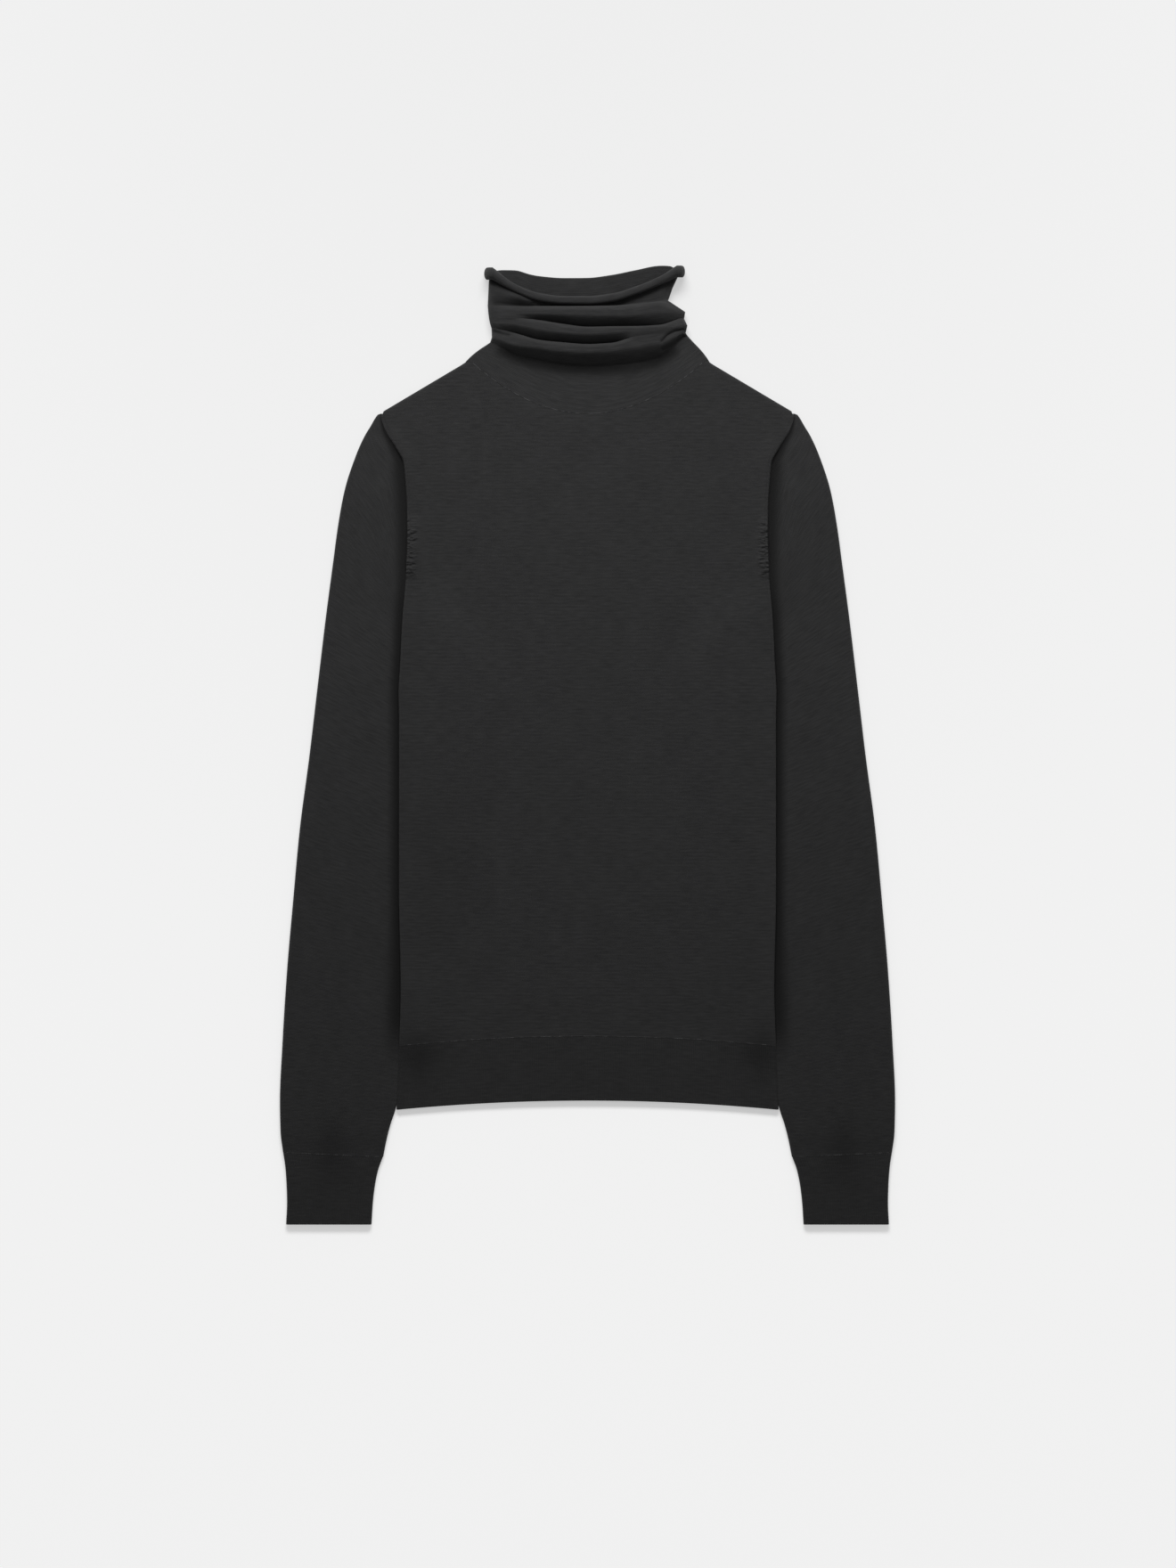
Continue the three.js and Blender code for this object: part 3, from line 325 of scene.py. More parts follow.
class SweaterCloth(bpy.types.PropertyGroup):
    """Sizes and colours of the knit"""

    rib_pitch: FloatProperty(
        name="Rib pitch", description="Distance from one rib to the next",
        default=0.0018, min=0.0012, max=0.004, unit="LENGTH",
    )
    wale: FloatProperty(
        name="Wale", description="Width of one column of stitches",
        default=0.0014, min=0.0008, max=0.004, unit="LENGTH",
    )
    course: FloatProperty(
        name="Course", description="Height of one row of stitches",
        default=0.001, min=0.0006, max=0.003, unit="LENGTH",
    )
    yarn: FloatVectorProperty(
        name="Yarn", description="Colour of the plain knit",
        default=(0.0302, 0.0302, 0.0307), min=0, max=1, subtype="COLOR",
    )
    rib_yarn: FloatVectorProperty(
        name="Rib yarn", description="Colour of the ribs, a little deeper than the plain knit",
        default=(0.0248, 0.0248, 0.0252), min=0, max=1, subtype="COLOR",
    )


class SweaterStage(bpy.types.PropertyGroup):
    """Floor and studio light"""

    floor_tone: FloatVectorProperty(
        name="Floor", description="Colour of the pale floor",
        default=(0.86, 0.86, 0.86), min=0, max=1, subtype="COLOR",
    )
    key_power: FloatProperty(
        name="Key light", description="Power of the soft light beyond the collar",
        default=26.0, min=0, max=500, unit="POWER",
    )
    fill_strength: FloatProperty(
        name="Fill", description="Strength of the even light from all sides",
        default=0.2, min=0, max=3, subtype="FACTOR",
    )


def lift_at(y):
    """How far the body's side is lifted by the sleeve tucked under it."""
    return ramp(y, UNDERARM_Y - 1, UNDERARM_Y - 16) * ramp(y, *TUCK_END)


def tuck_at(y):
    """How far the flat of the body has risen over the sleeve tucked under it."""
    return ramp(y, UNDERARM_Y - 1, UNDERARM_Y - 46) * ramp(y, *TUCK_END)


def closing_at(y):
    """How far the back's edge has turned up to close the side seam."""
    return ramp(y, UNDERARM_Y - 5, UNDERARM_Y - 13)


def front_edge_angle(y):
    """How far the front's edge turns down along the side and armhole."""
    return QUARTER * ramp(y, SHOULDER_Y - 4, SHOULDER_Y - 38)


def shoulder_angle(x):
    """How far a shoulder seam's edge turns."""
    return QUARTER * ramp(np.abs(x), NECK_X + 1, NECK_X + 8)


def edge_skew(y):
    """How much longer a step across is than one square to the body's edge."""
    step = 0.5
    return np.hypot(1, (BODY_EDGE(y + step) - BODY_EDGE(y - step)) / (2 * step))


def bend(angle, length, travelled):
    """How far out and how far down a bend has gone."""
    angle = np.maximum(angle, 1e-6)
    turned = angle * travelled / length
    radius = length / angle
    return radius * np.sin(turned), radius * (1 - np.cos(turned))


def hem_line(line, x):
    """The line of a hem seam or hem end across the body."""
    return line["y"] - line["drop"] * (x / line["half"]) ** 2


def top_edge(x, neck_low):
    """The body's top edge: a neck curve between two straight shoulders."""
    reach = np.abs(x) - NECK_X
    neck = neck_low + (NECK_Y - neck_low) * (x / NECK_X) ** 2
    return np.where(reach < 0, neck, NECK_Y - SHOULDER_FALL * reach)


def trough_depth(x, y):
    """Sum of the soft troughs at a place on the front."""
    total = 0
    for at_x, at_y, length, width, turn, depth in FRONT_TROUGHS:
        along = ((x - at_x) * math.cos(turn) + (y - at_y) * math.sin(turn)) / length
        beside = ((y - at_y) * math.cos(turn) - (x - at_x) * math.sin(turn)) / width
        total = total + depth * np.exp(-2 * (along**2 + beside**2))
    return total


def front_height(x, y):
    """Height of the front's middle surface before its edges turn down."""
    half = BODY_EDGE(y)
    lift = tuck_at(y)
    across = np.abs(x)
    tuck = lift * ramp(across - SLEEVE_INNER(y), *FRONT_TUCK)
    beside = ramp(across - half, *SWELL_ACROSS)
    swell = beside * (1 - lift) * ramp(y, *SWELL_START) * ramp(y, *SWELL_END)
    inset = ramp(half - across, *TROUGH_EDGE)
    below_top = top_edge(x, FRONT_NECK_LOW) - y
    top_rise = (SHOULDER_TOP - FRONT_LAYER) * ramp(below_top, *NECK_RISE)
    layers = FRONT_LAYER + TUCK_LIFT * tuck + ARMHOLE_SWELL * swell + top_rise
    return layers - trough_depth(x, y) * inset


def back_height(x, y):
    """Height of the back's middle surface before its edges turn up."""
    tuck = tuck_at(y) * ramp(np.abs(x) - SLEEVE_INNER(y), *BACK_TUCK)
    return BACK_LAYER + TUCK_LIFT * tuck


def front_edge_length(y):
    """Length of cloth in the front's turned edge."""
    return QUARTER * mix(ARMHOLE_RADIUS, SIDE_RADIUS, lift_at(y))


def back_edge_length(y):
    """Length of cloth in the back's turned edge."""
    underarm = mix(ARMHOLE_RADIUS, UNDERARM_BACK_RADIUS, closing_at(y))
    radius = mix(np.where(y > 0, underarm, HEM_BACK_RADIUS), TUCK_BACK_RADIUS, lift_at(y))
    return QUARTER * radius


def sleeve_painted_shade(columns, points):
    """Painted shade on the sleeve's upper layer: deep in the valley beside the body's edge, slight and
    growing down the sleeve, and in the wrist dent.
    """
    x, y = points[..., 0], points[..., 1]
    upper = columns["turn"][None, :] < QUARTER
    wedge = np.maximum(VALLEY_WEDGE * (SHOULDER_Y - y), 0.5)
    above = mix(11.5, 15.5, ramp(y, 120, 215))
    reach = np.minimum(mix(above, 17, ramp(y, -120, -210)), wedge)
    beside = ramp(x - BODY_EDGE(y), reach, 0.15 * reach) * ramp(y, -275, -225)
    # Painted shade: slight and growing down the sleeve, deepest in the valley by the body's edge
    lower = SLEEVE_PAINTED_SHADE * ramp(y, 120, -180)
    valley = lower + (VALLEY_PAINTED_SHADE - lower) * beside
    return np.where(upper, mix(valley, 1, wrist_painted_shade(x, y)), 0)


def painted_shade_spots(places, x, y):
    """Sum of soft spots of painted shade at a place: each has a place, a width, a height and a depth."""
    total = 0
    for at_x, at_y, wide, tall, depth in places:
        total = total + depth * np.exp(-(((x - at_x) / wide) ** 2) - ((y - at_y) / tall) ** 2)
    return total


def wrist_painted_shade(x, y):
    """Painted shade in the soft dent at the wrist."""
    return painted_shade_spots(WRIST_PAINTED_SHADE, x, y)


def body_painted_shade(x, y):
    """Painted shade on the front, in soft spots such as those by the hem's corners."""
    return painted_shade_spots(FRONT_PAINTED_SHADE, x, y)


def body_pucker(x, y):
    """Where the armhole seam pulls the front's cloth into small puckers."""
    inside = BODY_EDGE(y) - np.abs(x)
    return ramp(inside, 11, 4) * ramp(y, 138, 148) * ramp(y, 196, 182)


FRONT = {
    "neck_low": FRONT_NECK_LOW, "angle": front_edge_angle, "length": front_edge_length,
    "height": front_height, "turns": 1,
}
BACK = {
    "neck_low": BACK_NECK_LOW, "angle": lambda y: QUARTER * closing_at(y),
    "length": back_edge_length, "height": back_height, "turns": -1,
}


def flat_half(panel, y):
    """How far from the centre a panel's side starts to bend."""
    angle, length = panel["angle"](y), panel["length"](y)
    out, _ = bend(angle, length, length)
    return BODY_EDGE(y) - edge_skew(y) * (HALF_WALL * np.sin(angle) + out)


def across_panel(panel, flat, bent, y):
    """A column's place across, and how far its bent edge has turned down."""
    length = panel["length"](y)
    out, down = bend(panel["angle"](y), length, length * bent)
    edge = np.sign(flat) * edge_skew(y) * out
    return flat * flat_half(panel, y) + np.where(bent > 0, edge, 0), np.where(bent > 0, down, 0)


def panel_columns(count, edge_steps, crowding=1.0):
    """Columns across a panel: flat parts between two bent edges."""
    middle = np.linspace(-1, 1, count)
    middle = np.sign(middle) * (1 - (1 - np.abs(middle)) ** crowding)
    turns = np.linspace(0, 1, edge_steps + 1)[1:]
    flat = np.concatenate([-np.ones(edge_steps), middle, np.ones(edge_steps)])
    bent = np.concatenate([turns[::-1], np.zeros(count), turns])
    return flat, bent


def panel_points(panel, columns, rows, relief=None):
    """Points of a front or back panel, row by row."""
    flat, bent = columns[0][None, :], columns[1][None, :]
    side_y, row_bent = rows[0][:, None], rows[1][:, None]
    bottom_side = hem_line(HEM_SEAM, HEM_SEAM["half"]) + SEAM_GAP
    part = (side_y - bottom_side) / (SIDE_TOP - bottom_side)
    top_x = flat * flat_half(panel, SIDE_TOP)
    shoulder = shoulder_angle(top_x)
    shoulder_length = QUARTER * SHOULDER_RADIUS
    full_out, _ = bend(shoulder, shoulder_length, shoulder_length)
    inset = SHOULDER_SKEW * (HALF_WALL * np.sin(shoulder) + full_out)
    top_flat = np.where(np.abs(flat) == 1, SIDE_TOP, top_edge(top_x, panel["neck_low"]) - inset)
    out, top_down = bend(shoulder, shoulder_length, shoulder_length * row_bent)
    bottom = hem_line(HEM_SEAM, flat * HEM_SEAM["half"]) + SEAM_GAP
    y = mix(bottom, top_flat, part) + np.where(row_bent > 0, SHOULDER_SKEW * out, 0)
    x, side_down = across_panel(panel, flat, bent, side_y)
    down = side_down + np.where(row_bent > 0, top_down, 0)
    z = panel["height"](x, y) - panel["turns"] * down
    if relief is not None:
        z = z + relief(x, y)
    return np.stack([x + 0 * y, y + 0 * x, z], axis=-1)


def hem_points(panel, columns, parts, relief):
    """Points of a hem rib, from its seam down to its end."""
    flat, bent = columns[0][None, :], columns[1][None, :]

    def rib_y(across):
        seam_y = hem_line(HEM_SEAM, across * HEM_SEAM["half"]) - SEAM_GAP
        return mix(seam_y, hem_line(HEM_END, across * HEM_END["half"]), parts[:, None])

    x, down = across_panel(panel, flat, bent, rib_y(1))
    y = rib_y(flat)
    z = panel["height"](x, y) - panel["turns"] * down + panel["turns"] * relief * (bent == 0)
    return np.stack([x + 0 * y, y + 0 * x, z], axis=-1)


def armhole_at(part):
    """A point of the armhole seam, from the shoulder down to the underarm."""
    y = mix(SIDE_TOP, UNDERARM_Y, np.asarray(part, float))
    return np.stack([BODY_EDGE(y), y], axis=-1)


def armhole_outward(part):
    """The way out of the armhole, square to its seam."""
    step = 0.004
    run = armhole_at(np.minimum(1, part + step)) - armhole_at(np.maximum(0, part - step))
    way = np.stack([-run[..., 1], run[..., 0]], axis=-1)
    return way / np.linalg.norm(way, axis=-1, keepdims=True)


def sleeve_height(x, y):
    """Height of the sleeve's upper layer, low beside the body's edge."""
    outside = x - BODY_EDGE(y)
    depth = mix(VALLEY_DEPTH, VALLEY_SHALLOW, ramp(y, *VALLEY_END))
    valley = depth * ramp(y, SHOULDER_Y, SHOULDER_Y - 34) * ramp(outside, *VALLEY_ACROSS)
    top = mix(SLEEVE_TOP, SHOULDER_TOP, ramp(y, *SLEEVE_CAP))
    cuff_fall = CUFF_SEAM_FALL * ramp(y, *CUFF_FALL)
    wide = np.maximum(0, 1 - ((x - WRIST_DENT["x"]) / WRIST_DENT["half"]) ** 2)
    long = smooth(1 - np.abs(y - WRIST_DENT["y"]) / WRIST_DENT["reach"])
    return top - valley - cuff_fall - WRIST_DENT["depth"] * wide * long


def tube_columns(upper, lower, fold_steps):
    """Columns round a flattened tube: upper layer, inner fold, lower layer, outer fold."""
    inner = np.linspace(0, math.pi, fold_steps + 1)[1:-1]
    outer = inner[::-1]
    part = np.concatenate([upper, np.ones(len(inner)), lower, np.zeros(len(outer)), upper[:1]])
    turn = np.concatenate([0 * upper, inner, 0 * lower + math.pi, outer, [0]])
    fold = np.concatenate([0 * upper, inner * 0 + 1, 0 * lower, outer * 0 - 1, [0]])
    return {"part": part, "turn": turn, "fold": fold}


def tube_points(outer, inner, bow, upper_at, inset, columns):
    """Points of a flattened tube whose rings run from an outer to an inner edge."""
    part, turn, fold = columns["part"][None, :], columns["turn"][None, :], columns["fold"][None, :]
    span = inner - outer
    width = np.linalg.norm(span, axis=-1)[:, None]
    way = span / width
    outer_reach = np.minimum(FOLD_REACH, (upper_at(0.0, None) - BACK_LAYER) / 2)
    inner_reach = np.minimum(FOLD_REACH, (upper_at(1.0, None) - BACK_LAYER) / 2)
    start = inset * (HALF_WALL + outer_reach)
    end = width - inset * (HALF_WALL + inner_reach)
    distance = mix(start, end, part)
    distance = distance + np.where(fold > 0, inner_reach * np.sin(turn), 0)
    distance = distance - np.where(fold < 0, outer_reach * np.sin(turn), 0)
    flat = outer[:, None, :] + way[:, None, :] * distance[..., None] + bow(part)
    raised = (1 + np.cos(turn)) / 2
    z = mix(BACK_LAYER, upper_at(part, flat), raised)
    return flat, z, raised


def rim_at(part):
    """Where the sleeve's upper rim starts, carrying on from the front's turned edge."""
    edge = armhole_at(part)
    angle = front_edge_angle(edge[..., 1])
    length = front_edge_length(edge[..., 1])
    _, fall = bend(angle, length, length)
    height = front_height(edge[..., 0], edge[..., 1]) - fall - RIM_DROP * np.sin(angle)
    return angle, height


def sleeve_points(columns, seam_rows, ring_rows):
    """Points of the right sleeve: first its turned stretch at the armhole, then its rings."""
    outer_base = armhole_at(0.0) + armhole_outward(0.0) * SEAM_REACH
    inner_base = armhole_at(1.0) + armhole_outward(1.0) * SEAM_REACH
    outward = armhole_outward(columns["part"])
    seam_curve = armhole_at(columns["part"]) + outward * SEAM_REACH
    chord = mix(outer_base[None, :], inner_base[None, :], columns["part"][:, None])
    bow_full = (seam_curve - chord)[None, :, :]

    def seam_stretch():
        count = len(seam_rows)
        outer = np.repeat(outer_base[None, :], count, axis=0)
        inner = np.repeat(inner_base[None, :], count, axis=0)
        seam = seam_rows[:, None]

        def upper_at(part, flat):
            if flat is None:
                spot = armhole_at(part) + armhole_outward(part) * SEAM_REACH
                flat = np.broadcast_to(spot, (count, 1, 2))
            settled = sleeve_height(flat[..., 0], flat[..., 1])
            angle, height = rim_at(part)
            steep = angle / QUARTER
            down = mix(smooth(seam), np.sin(QUARTER * seam), steep)
            return mix(height, settled, down)

        flat, z, raised = tube_points(outer, inner, lambda part: bow_full, upper_at, 0, columns)
        angle = rim_at(columns["part"])[0][None, :] * raised
        beside = -RIM_UNDER * np.cos(angle) ** 2 - HALF_WALL * np.sin(angle)
        rim_out = beside + RIM_ROUND * np.sin(columns["turn"])[None, :]
        progress = mix(seam, 1 - np.cos(QUARTER * seam), angle / QUARTER)
        back = (SEAM_REACH - rim_out) * (1 - progress)
        flat = flat - outward[None, :, :] * back[..., None]
        return np.concatenate([flat, z[..., None]], axis=-1)

    def ring_stretch():
        count = len(ring_rows)
        steps = np.arange(len(SLEEVE_RINGS) + 1)
        outer_y = Curve(steps, [outer_base[1]] + [ring[0] for ring in SLEEVE_RINGS])(ring_rows)
        inner_y = Curve(steps, [inner_base[1]] + [ring[1] for ring in SLEEVE_RINGS])(ring_rows)
        fresh = np.clip(1 - ring_rows, 0, 1)
        outer_x = SLEEVE_OUTER(outer_y) + (outer_base[0] - SLEEVE_OUTER(outer_base[1])) * fresh
        inner_x = SLEEVE_INNER(inner_y) + (inner_base[0] - SLEEVE_INNER(inner_base[1])) * fresh
        outer = np.stack([outer_x, outer_y], axis=-1)
        inner = np.stack([inner_x, inner_y], axis=-1)
        bowed = np.maximum(ramp(outer_y, SHOULDER_Y - 120, SHOULDER_Y), smooth(fresh))[:, None, None]
        inset = smooth(1 - fresh)[:, None]

        def upper_at(part, flat):
            if flat is None:
                edge = outer if part == 0.0 else inner
                flat = edge[:, None, :]
            return sleeve_height(flat[..., 0], flat[..., 1])

        flat, z, _ = tube_points(outer, inner, lambda part: bow_full * bowed, upper_at, inset, columns)
        return np.concatenate([flat, z[..., None]], axis=-1)

    return np.concatenate([seam_stretch(), ring_stretch()[1:]], axis=0)


def cuff_seam_y(x):
    """The seam between the right sleeve and its cuff."""
    return SLEEVE_SEAM_Y + CUFF_SEAM_SLOPE * (SLEEVE_OUTER(SLEEVE_SEAM_Y) - x)


def cuff_points(columns, parts, relief):
    """Points of the right cuff, from its seam down to its end."""
    guide = mix(CUFF_TOP_Y, CUFF_END_Y, parts)
    outer_x, inner_x = CUFF_OUTER(guide), CUFF_INNER(guide)
    outer, inner = (
        np.stack([x, mix(cuff_seam_y(x) - 2 * SEAM_GAP, CUFF_END_Y, parts)], axis=-1)
        for x in (outer_x, inner_x)
    )

    def upper_at(part, flat):
        x = mix(outer_x[:, None], inner_x[:, None], part)
        seam_height = sleeve_height(x, np.full_like(x, SLEEVE_SEAM_Y))
        return mix(seam_height, CUFF_TOP, ramp(parts, 0, 0.45)[:, None])

    flat, z, raised = tube_points(outer, inner, lambda part: 0, upper_at, 1, columns)
    side = np.where(columns["fold"] == 0, np.cos(columns["turn"]), 0)[None, :]
    return np.concatenate([flat, (z + relief * side)[..., None]], axis=-1)


def neck_seam_y(x, neck_low):
    """A place on the neck seam, just above a panel's top edge."""
    reach = np.minimum(np.abs(x), COLLAR_X)
    slope = np.where(reach < NECK_X, 2 * (NECK_Y - neck_low) * reach / NECK_X**2, SHOULDER_FALL)
    return top_edge(reach, neck_low) + 2 * SEAM_GAP * np.hypot(1, slope)


COLLAR_STEPS = {"flat": 22, "foot": 8, "ridge": 12, "crease": 12, "slope": 4, "roll": 6}
ROLL_STEPS = 22
RIDGE_FLANK = 0.82
RIDGE_ROUND = 1.35
CREASE_STEEP = 4


def rise_profile(kind, part):
    """Part of a rise reached: a steep flank up to a flat ridge, and a steep fall into a crease."""
    if kind == "ridge":
        return 1 - (1 - min(1, part / RIDGE_FLANK)) ** RIDGE_ROUND
    if kind == "crease":
        return part**CREASE_STEEP
    if kind == "foot":
        return part**2
    return part


def collar_rows():
    """Every row of the collar: its places across, its heights and how far the roll has turned."""
    stations = np.array(COLLAR_STATIONS, float)
    seam = [neck_seam_y(x, FRONT_NECK_LOW) for x in stations]
    side_y = neck_seam_y(COLLAR_X, FRONT_NECK_LOW)
    lines = [("seam", np.array([-COLLAR_X, side_y, *seam, COLLAR_X, side_y]))]
    heights = [np.array([SHOULDER_TOP] * 9 + [BACK_LAYER])]
    for place, height in zip(COLLAR_PLACES, COLLAR_HEIGHTS):
        lines.append((place[0], np.array(place[1:], float)))
        heights.append(np.array(height, float))
    rows = [(lines[0][1], heights[0], 0.0, 0.0)]
    for i in range(1, len(lines)):
        kind = lines[i][0]
        count = COLLAR_STEPS[kind]
        for step in range(1, count + 1):
            part = step / count
            place = mix(lines[i - 1][1], lines[i][1], part)
            if kind == "flat":
                place[[0, 9]] += np.array([-1, 1]) * BASE_BULGE * 4 * part * (1 - part)
            height = mix(heights[i - 1], heights[i], rise_profile(kind, part))
            rows.append((place, height, (i - 1 + part) / (len(lines) - 1), 0.0))
    place, height, rank, _ = rows[-1]
    for step in range(1, ROLL_STEPS + 1):
        rows.append((place, height, rank, step / ROLL_STEPS))
    return rows


def collar_columns(front, side, back):
    """Columns round the collar: front from left to right, right side, back, left side."""
    turns = np.linspace(0, math.pi, side + 1)[1:-1]
    part = np.concatenate([
        np.linspace(0, 1, front), np.ones(len(turns)), np.linspace(1, 0, back), np.zeros(len(turns)), [0],
    ])
    turn = np.concatenate([np.zeros(front), turns, np.full(back, math.pi), turns[::-1], [0]])
    hand = np.concatenate([np.zeros(front), np.ones(len(turns)), np.zeros(back), -np.ones(len(turns)), [0]])
    return part, turn, hand


def squared(wave, power):
    """A sine or cosine made fuller, so that a round section comes out squarer."""
    return np.sign(wave) * np.abs(wave) ** power


def near_line(x, y, line, half_width):
    """How near places are to a line of points: 1 on it, fading out beside it."""
    nearest = np.full(np.shape(x), np.inf)
    for (x0, y0), (x1, y1) in zip(line, line[1:]):
        run_x, run_y = x1 - x0, y1 - y0
        part = np.clip(((x - x0) * run_x + (y - y0) * run_y) / (run_x**2 + run_y**2), 0, 1)
        nearest = np.minimum(nearest, np.hypot(x - x0 - part * run_x, y - y0 - part * run_y))
    return np.exp(-((nearest / half_width) ** 2))


def press_and_shade_collar(points, columns):
    """Presses the small creases into the collar's front and returns their painted shade, with the painted
    shadows under the roll and the lowest fold.
    """
    rows = len(points) - ROLL_STEPS
    front = (columns[1] < QUARTER)[None, :] * (np.arange(len(points)) < rows)[:, None]
    light = 1
    for line, half_width, dent, shade in COLLAR_PRESSES_AND_SHADE:
        pressed = near_line(points[..., 0], points[..., 1], line, half_width) * front
        points[..., 2] -= dent * pressed
        light = light * (1 - shade * pressed)
    return 1 - light


def collar_points(columns):
    """Points of the collar, row by row from the neck seam to the end of the roll."""
    part, turn, hand = columns
    at_back = (hand == 0) & (turn > 3)
    raised = (1 + np.cos(turn)) / 2
    sideways = np.sin(turn) * hand
    points = []
    for place, height, rank, turned in collar_rows():
        left_x, left_y, right_x, right_y = place[0], place[1], place[9], place[10]
        rise = max(height[0], height[8]) - height[9]
        reach = min(COLLAR_SIDE_REACH, rise * COLLAR_SIDE_ROUNDNESS)
        start, end = left_x + HALF_WALL + reach, right_x - HALF_WALL - reach
        x = mix(start, end, part)
        seam_x = x + reach * sideways
        knots = [start, *COLLAR_STATIONS, end]
        front_y = Curve(knots, [left_y, *place[2:9], right_y])(x)
        front_z = Curve(knots, height[:9])(x)
        sag = mix((BACK_NECK_LOW - NECK_Y) * 4 * part * (1 - part), BACK_RIM(part), rank)
        sag = sag + RIM_LIFT(part) * rank**RIM_LIFT_POWER
        back_y = mix(left_y, right_y, part) + sag
        if rank == 0:
            front_y = neck_seam_y(seam_x, FRONT_NECK_LOW)
            back_y = neck_seam_y(seam_x, BACK_NECK_LOW)
        y = mix(back_y, front_y, raised)
        z = mix(height[9], front_z, raised)
        if turned > 0:
            upright = np.cos(turn)
            fronts = Curve(knots, ROLL_RADII)(x)
            radius = np.where(upright > 0, fronts, mix(fronts, ROLL_BACK, -upright))
            angle = np.where(at_back, np.minimum(math.pi, ROLL_TURN * turned), ROLL_TURN * turned)
            long = np.hypot(sideways, upright)
            fullness = ramp(np.minimum(part, 1 - part), 0.01, 0.09)
            over = 1 - squared(np.cos(angle), mix(1, ROLL_SQUARE_Z, fullness))
            y = y + radius * squared(np.sin(angle), mix(1, ROLL_SQUARE_Y, fullness))
            seam_x = seam_x + sideways / long * radius * ROLL_SIDEWAYS * over
            z = z + upright / long * radius * over
            half_turn = math.pi / ROLL_TURN
            spare = max(0, turned - half_turn) / (1 - half_turn)
            y = y - np.where(at_back, ROLL_UNDER * spare, 0)
        points.append(np.stack([seam_x, y, z], axis=-1))
    return np.array(points)


def cloth_distances(points):
    """Distances across and along a grid of cloth, as averages over its rows and columns."""
    across = np.linalg.norm(np.diff(points, axis=1), axis=-1).mean(axis=0)
    upward = np.linalg.norm(np.diff(points, axis=0), axis=-1).mean(axis=1)
    return np.concatenate([[0], np.cumsum(across)]), np.concatenate([[0], np.cumsum(upward)])


def mesh_of(name, shape):
    """A finished shape as a mesh."""
    mesh = bpy.data.meshes.new(name)
    shape.to_mesh(mesh)
    shape.free()
    return mesh


def new_object(name, data):
    """A new object in the scene."""
    item = bpy.data.objects.new(name, data)
    bpy.context.scene.collection.objects.link(item)
    return item


def add_wall(piece):
    """Gives a sheet of cloth its thickness, half to each side."""
    wall = piece.modifiers.new("wall", "SOLIDIFY")
    wall.thickness = WALL * MM
    wall.offset = 0
    return piece


def knitted(name, points, flat, around=False, marks=None):
    """A piece of cloth: a grid laid over its points, with its own flat places as its UV map.

    Marks are named values at the points, such as how much painted shade a place gets.
    """
    rows, columns = points.shape[:2]
    sheet = bmesh.new()
    sheet.loops.layers.uv.new("flat")
    bmesh.ops.create_grid(sheet, x_segments=columns - 1, y_segments=rows - 1, size=1, calc_uvs=True)
    if len(sheet.verts) != rows * columns:
        raise RuntimeError(f"{name}: the grid has {len(sheet.verts)} points, not {rows * columns}")
    sheet.verts.ensure_lookup_table()
    for vert, point in zip(sheet.verts, (points.reshape(-1, 3) * MM).tolist()):
        vert.co = point
    for face in sheet.faces:
        face.smooth = True
    for mark, values in (marks or {}).items():
        layer = sheet.verts.layers.float.new(mark)
        for vert, value in zip(sheet.verts, np.broadcast_to(values, (rows, columns)).ravel().tolist()):
            vert[layer] = value
    if around:
        seam = [sheet.verts[r * columns + c] for r in range(rows) for c in (0, columns - 1)]
        bmesh.ops.remove_doubles(sheet, verts=seam, dist=1e-7)
    for edge in sheet.edges:
        edge.smooth = not edge.is_boundary
    mesh = mesh_of(name, sheet)
    layer = mesh.uv_layers["flat"].data
    places = np.empty(len(layer) * 2, np.float32)
    layer.foreach_get("uv", places)
    grid = places.reshape(-1, 2) * (columns - 1, rows - 1)
    u, v = flat
    if u.ndim == 1:
        across = np.interp(grid[:, 0], np.arange(columns), u)
        along = np.interp(grid[:, 1], np.arange(rows), v)
    else:
        c, r = np.rint(grid).astype(int).T
        across, along = u[r, c], v[r, c]
    layer.foreach_set("uv", (np.stack([across, along], axis=-1) * MM).astype(np.float32).ravel())
    return add_wall(new_object(name, mesh))


def point_up(piece, faces_up):
    """Turns a piece's faces so that its outer side faces out."""
    mesh = piece.data
    up = sum(face.normal.z * face.area for face in mesh.polygons if face.center.z > 0) > 0
    if up != faces_up:
        mesh.flip_normals()
    return piece


def mirrored(piece, name):
    """A copy of a right-hand piece for the left."""
    mesh = piece.data.copy()
    mesh.name = name
    sheet = bmesh.new()
    sheet.from_mesh(mesh)
    bmesh.ops.scale(sheet, vec=(-1, 1, 1), verts=sheet.verts)
    bmesh.ops.reverse_faces(sheet, faces=sheet.faces)
    sheet.to_mesh(mesh)
    sheet.free()
    return add_wall(new_object(name, mesh))


def settle(piece, node, material):
    """Puts a finished piece in its node's place."""
    piece.data.materials.append(material)
    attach(piece, "root")
    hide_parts(node)


def settle_pair(piece, node, material):
    """Settles a right-hand piece, and a mirrored one on the left."""
    left = mirrored(piece, piece.name.replace("right", "left"))
    settle(piece, f"{node}_right", material)
    settle(left, f"{node}_left", material)
    return piece, left


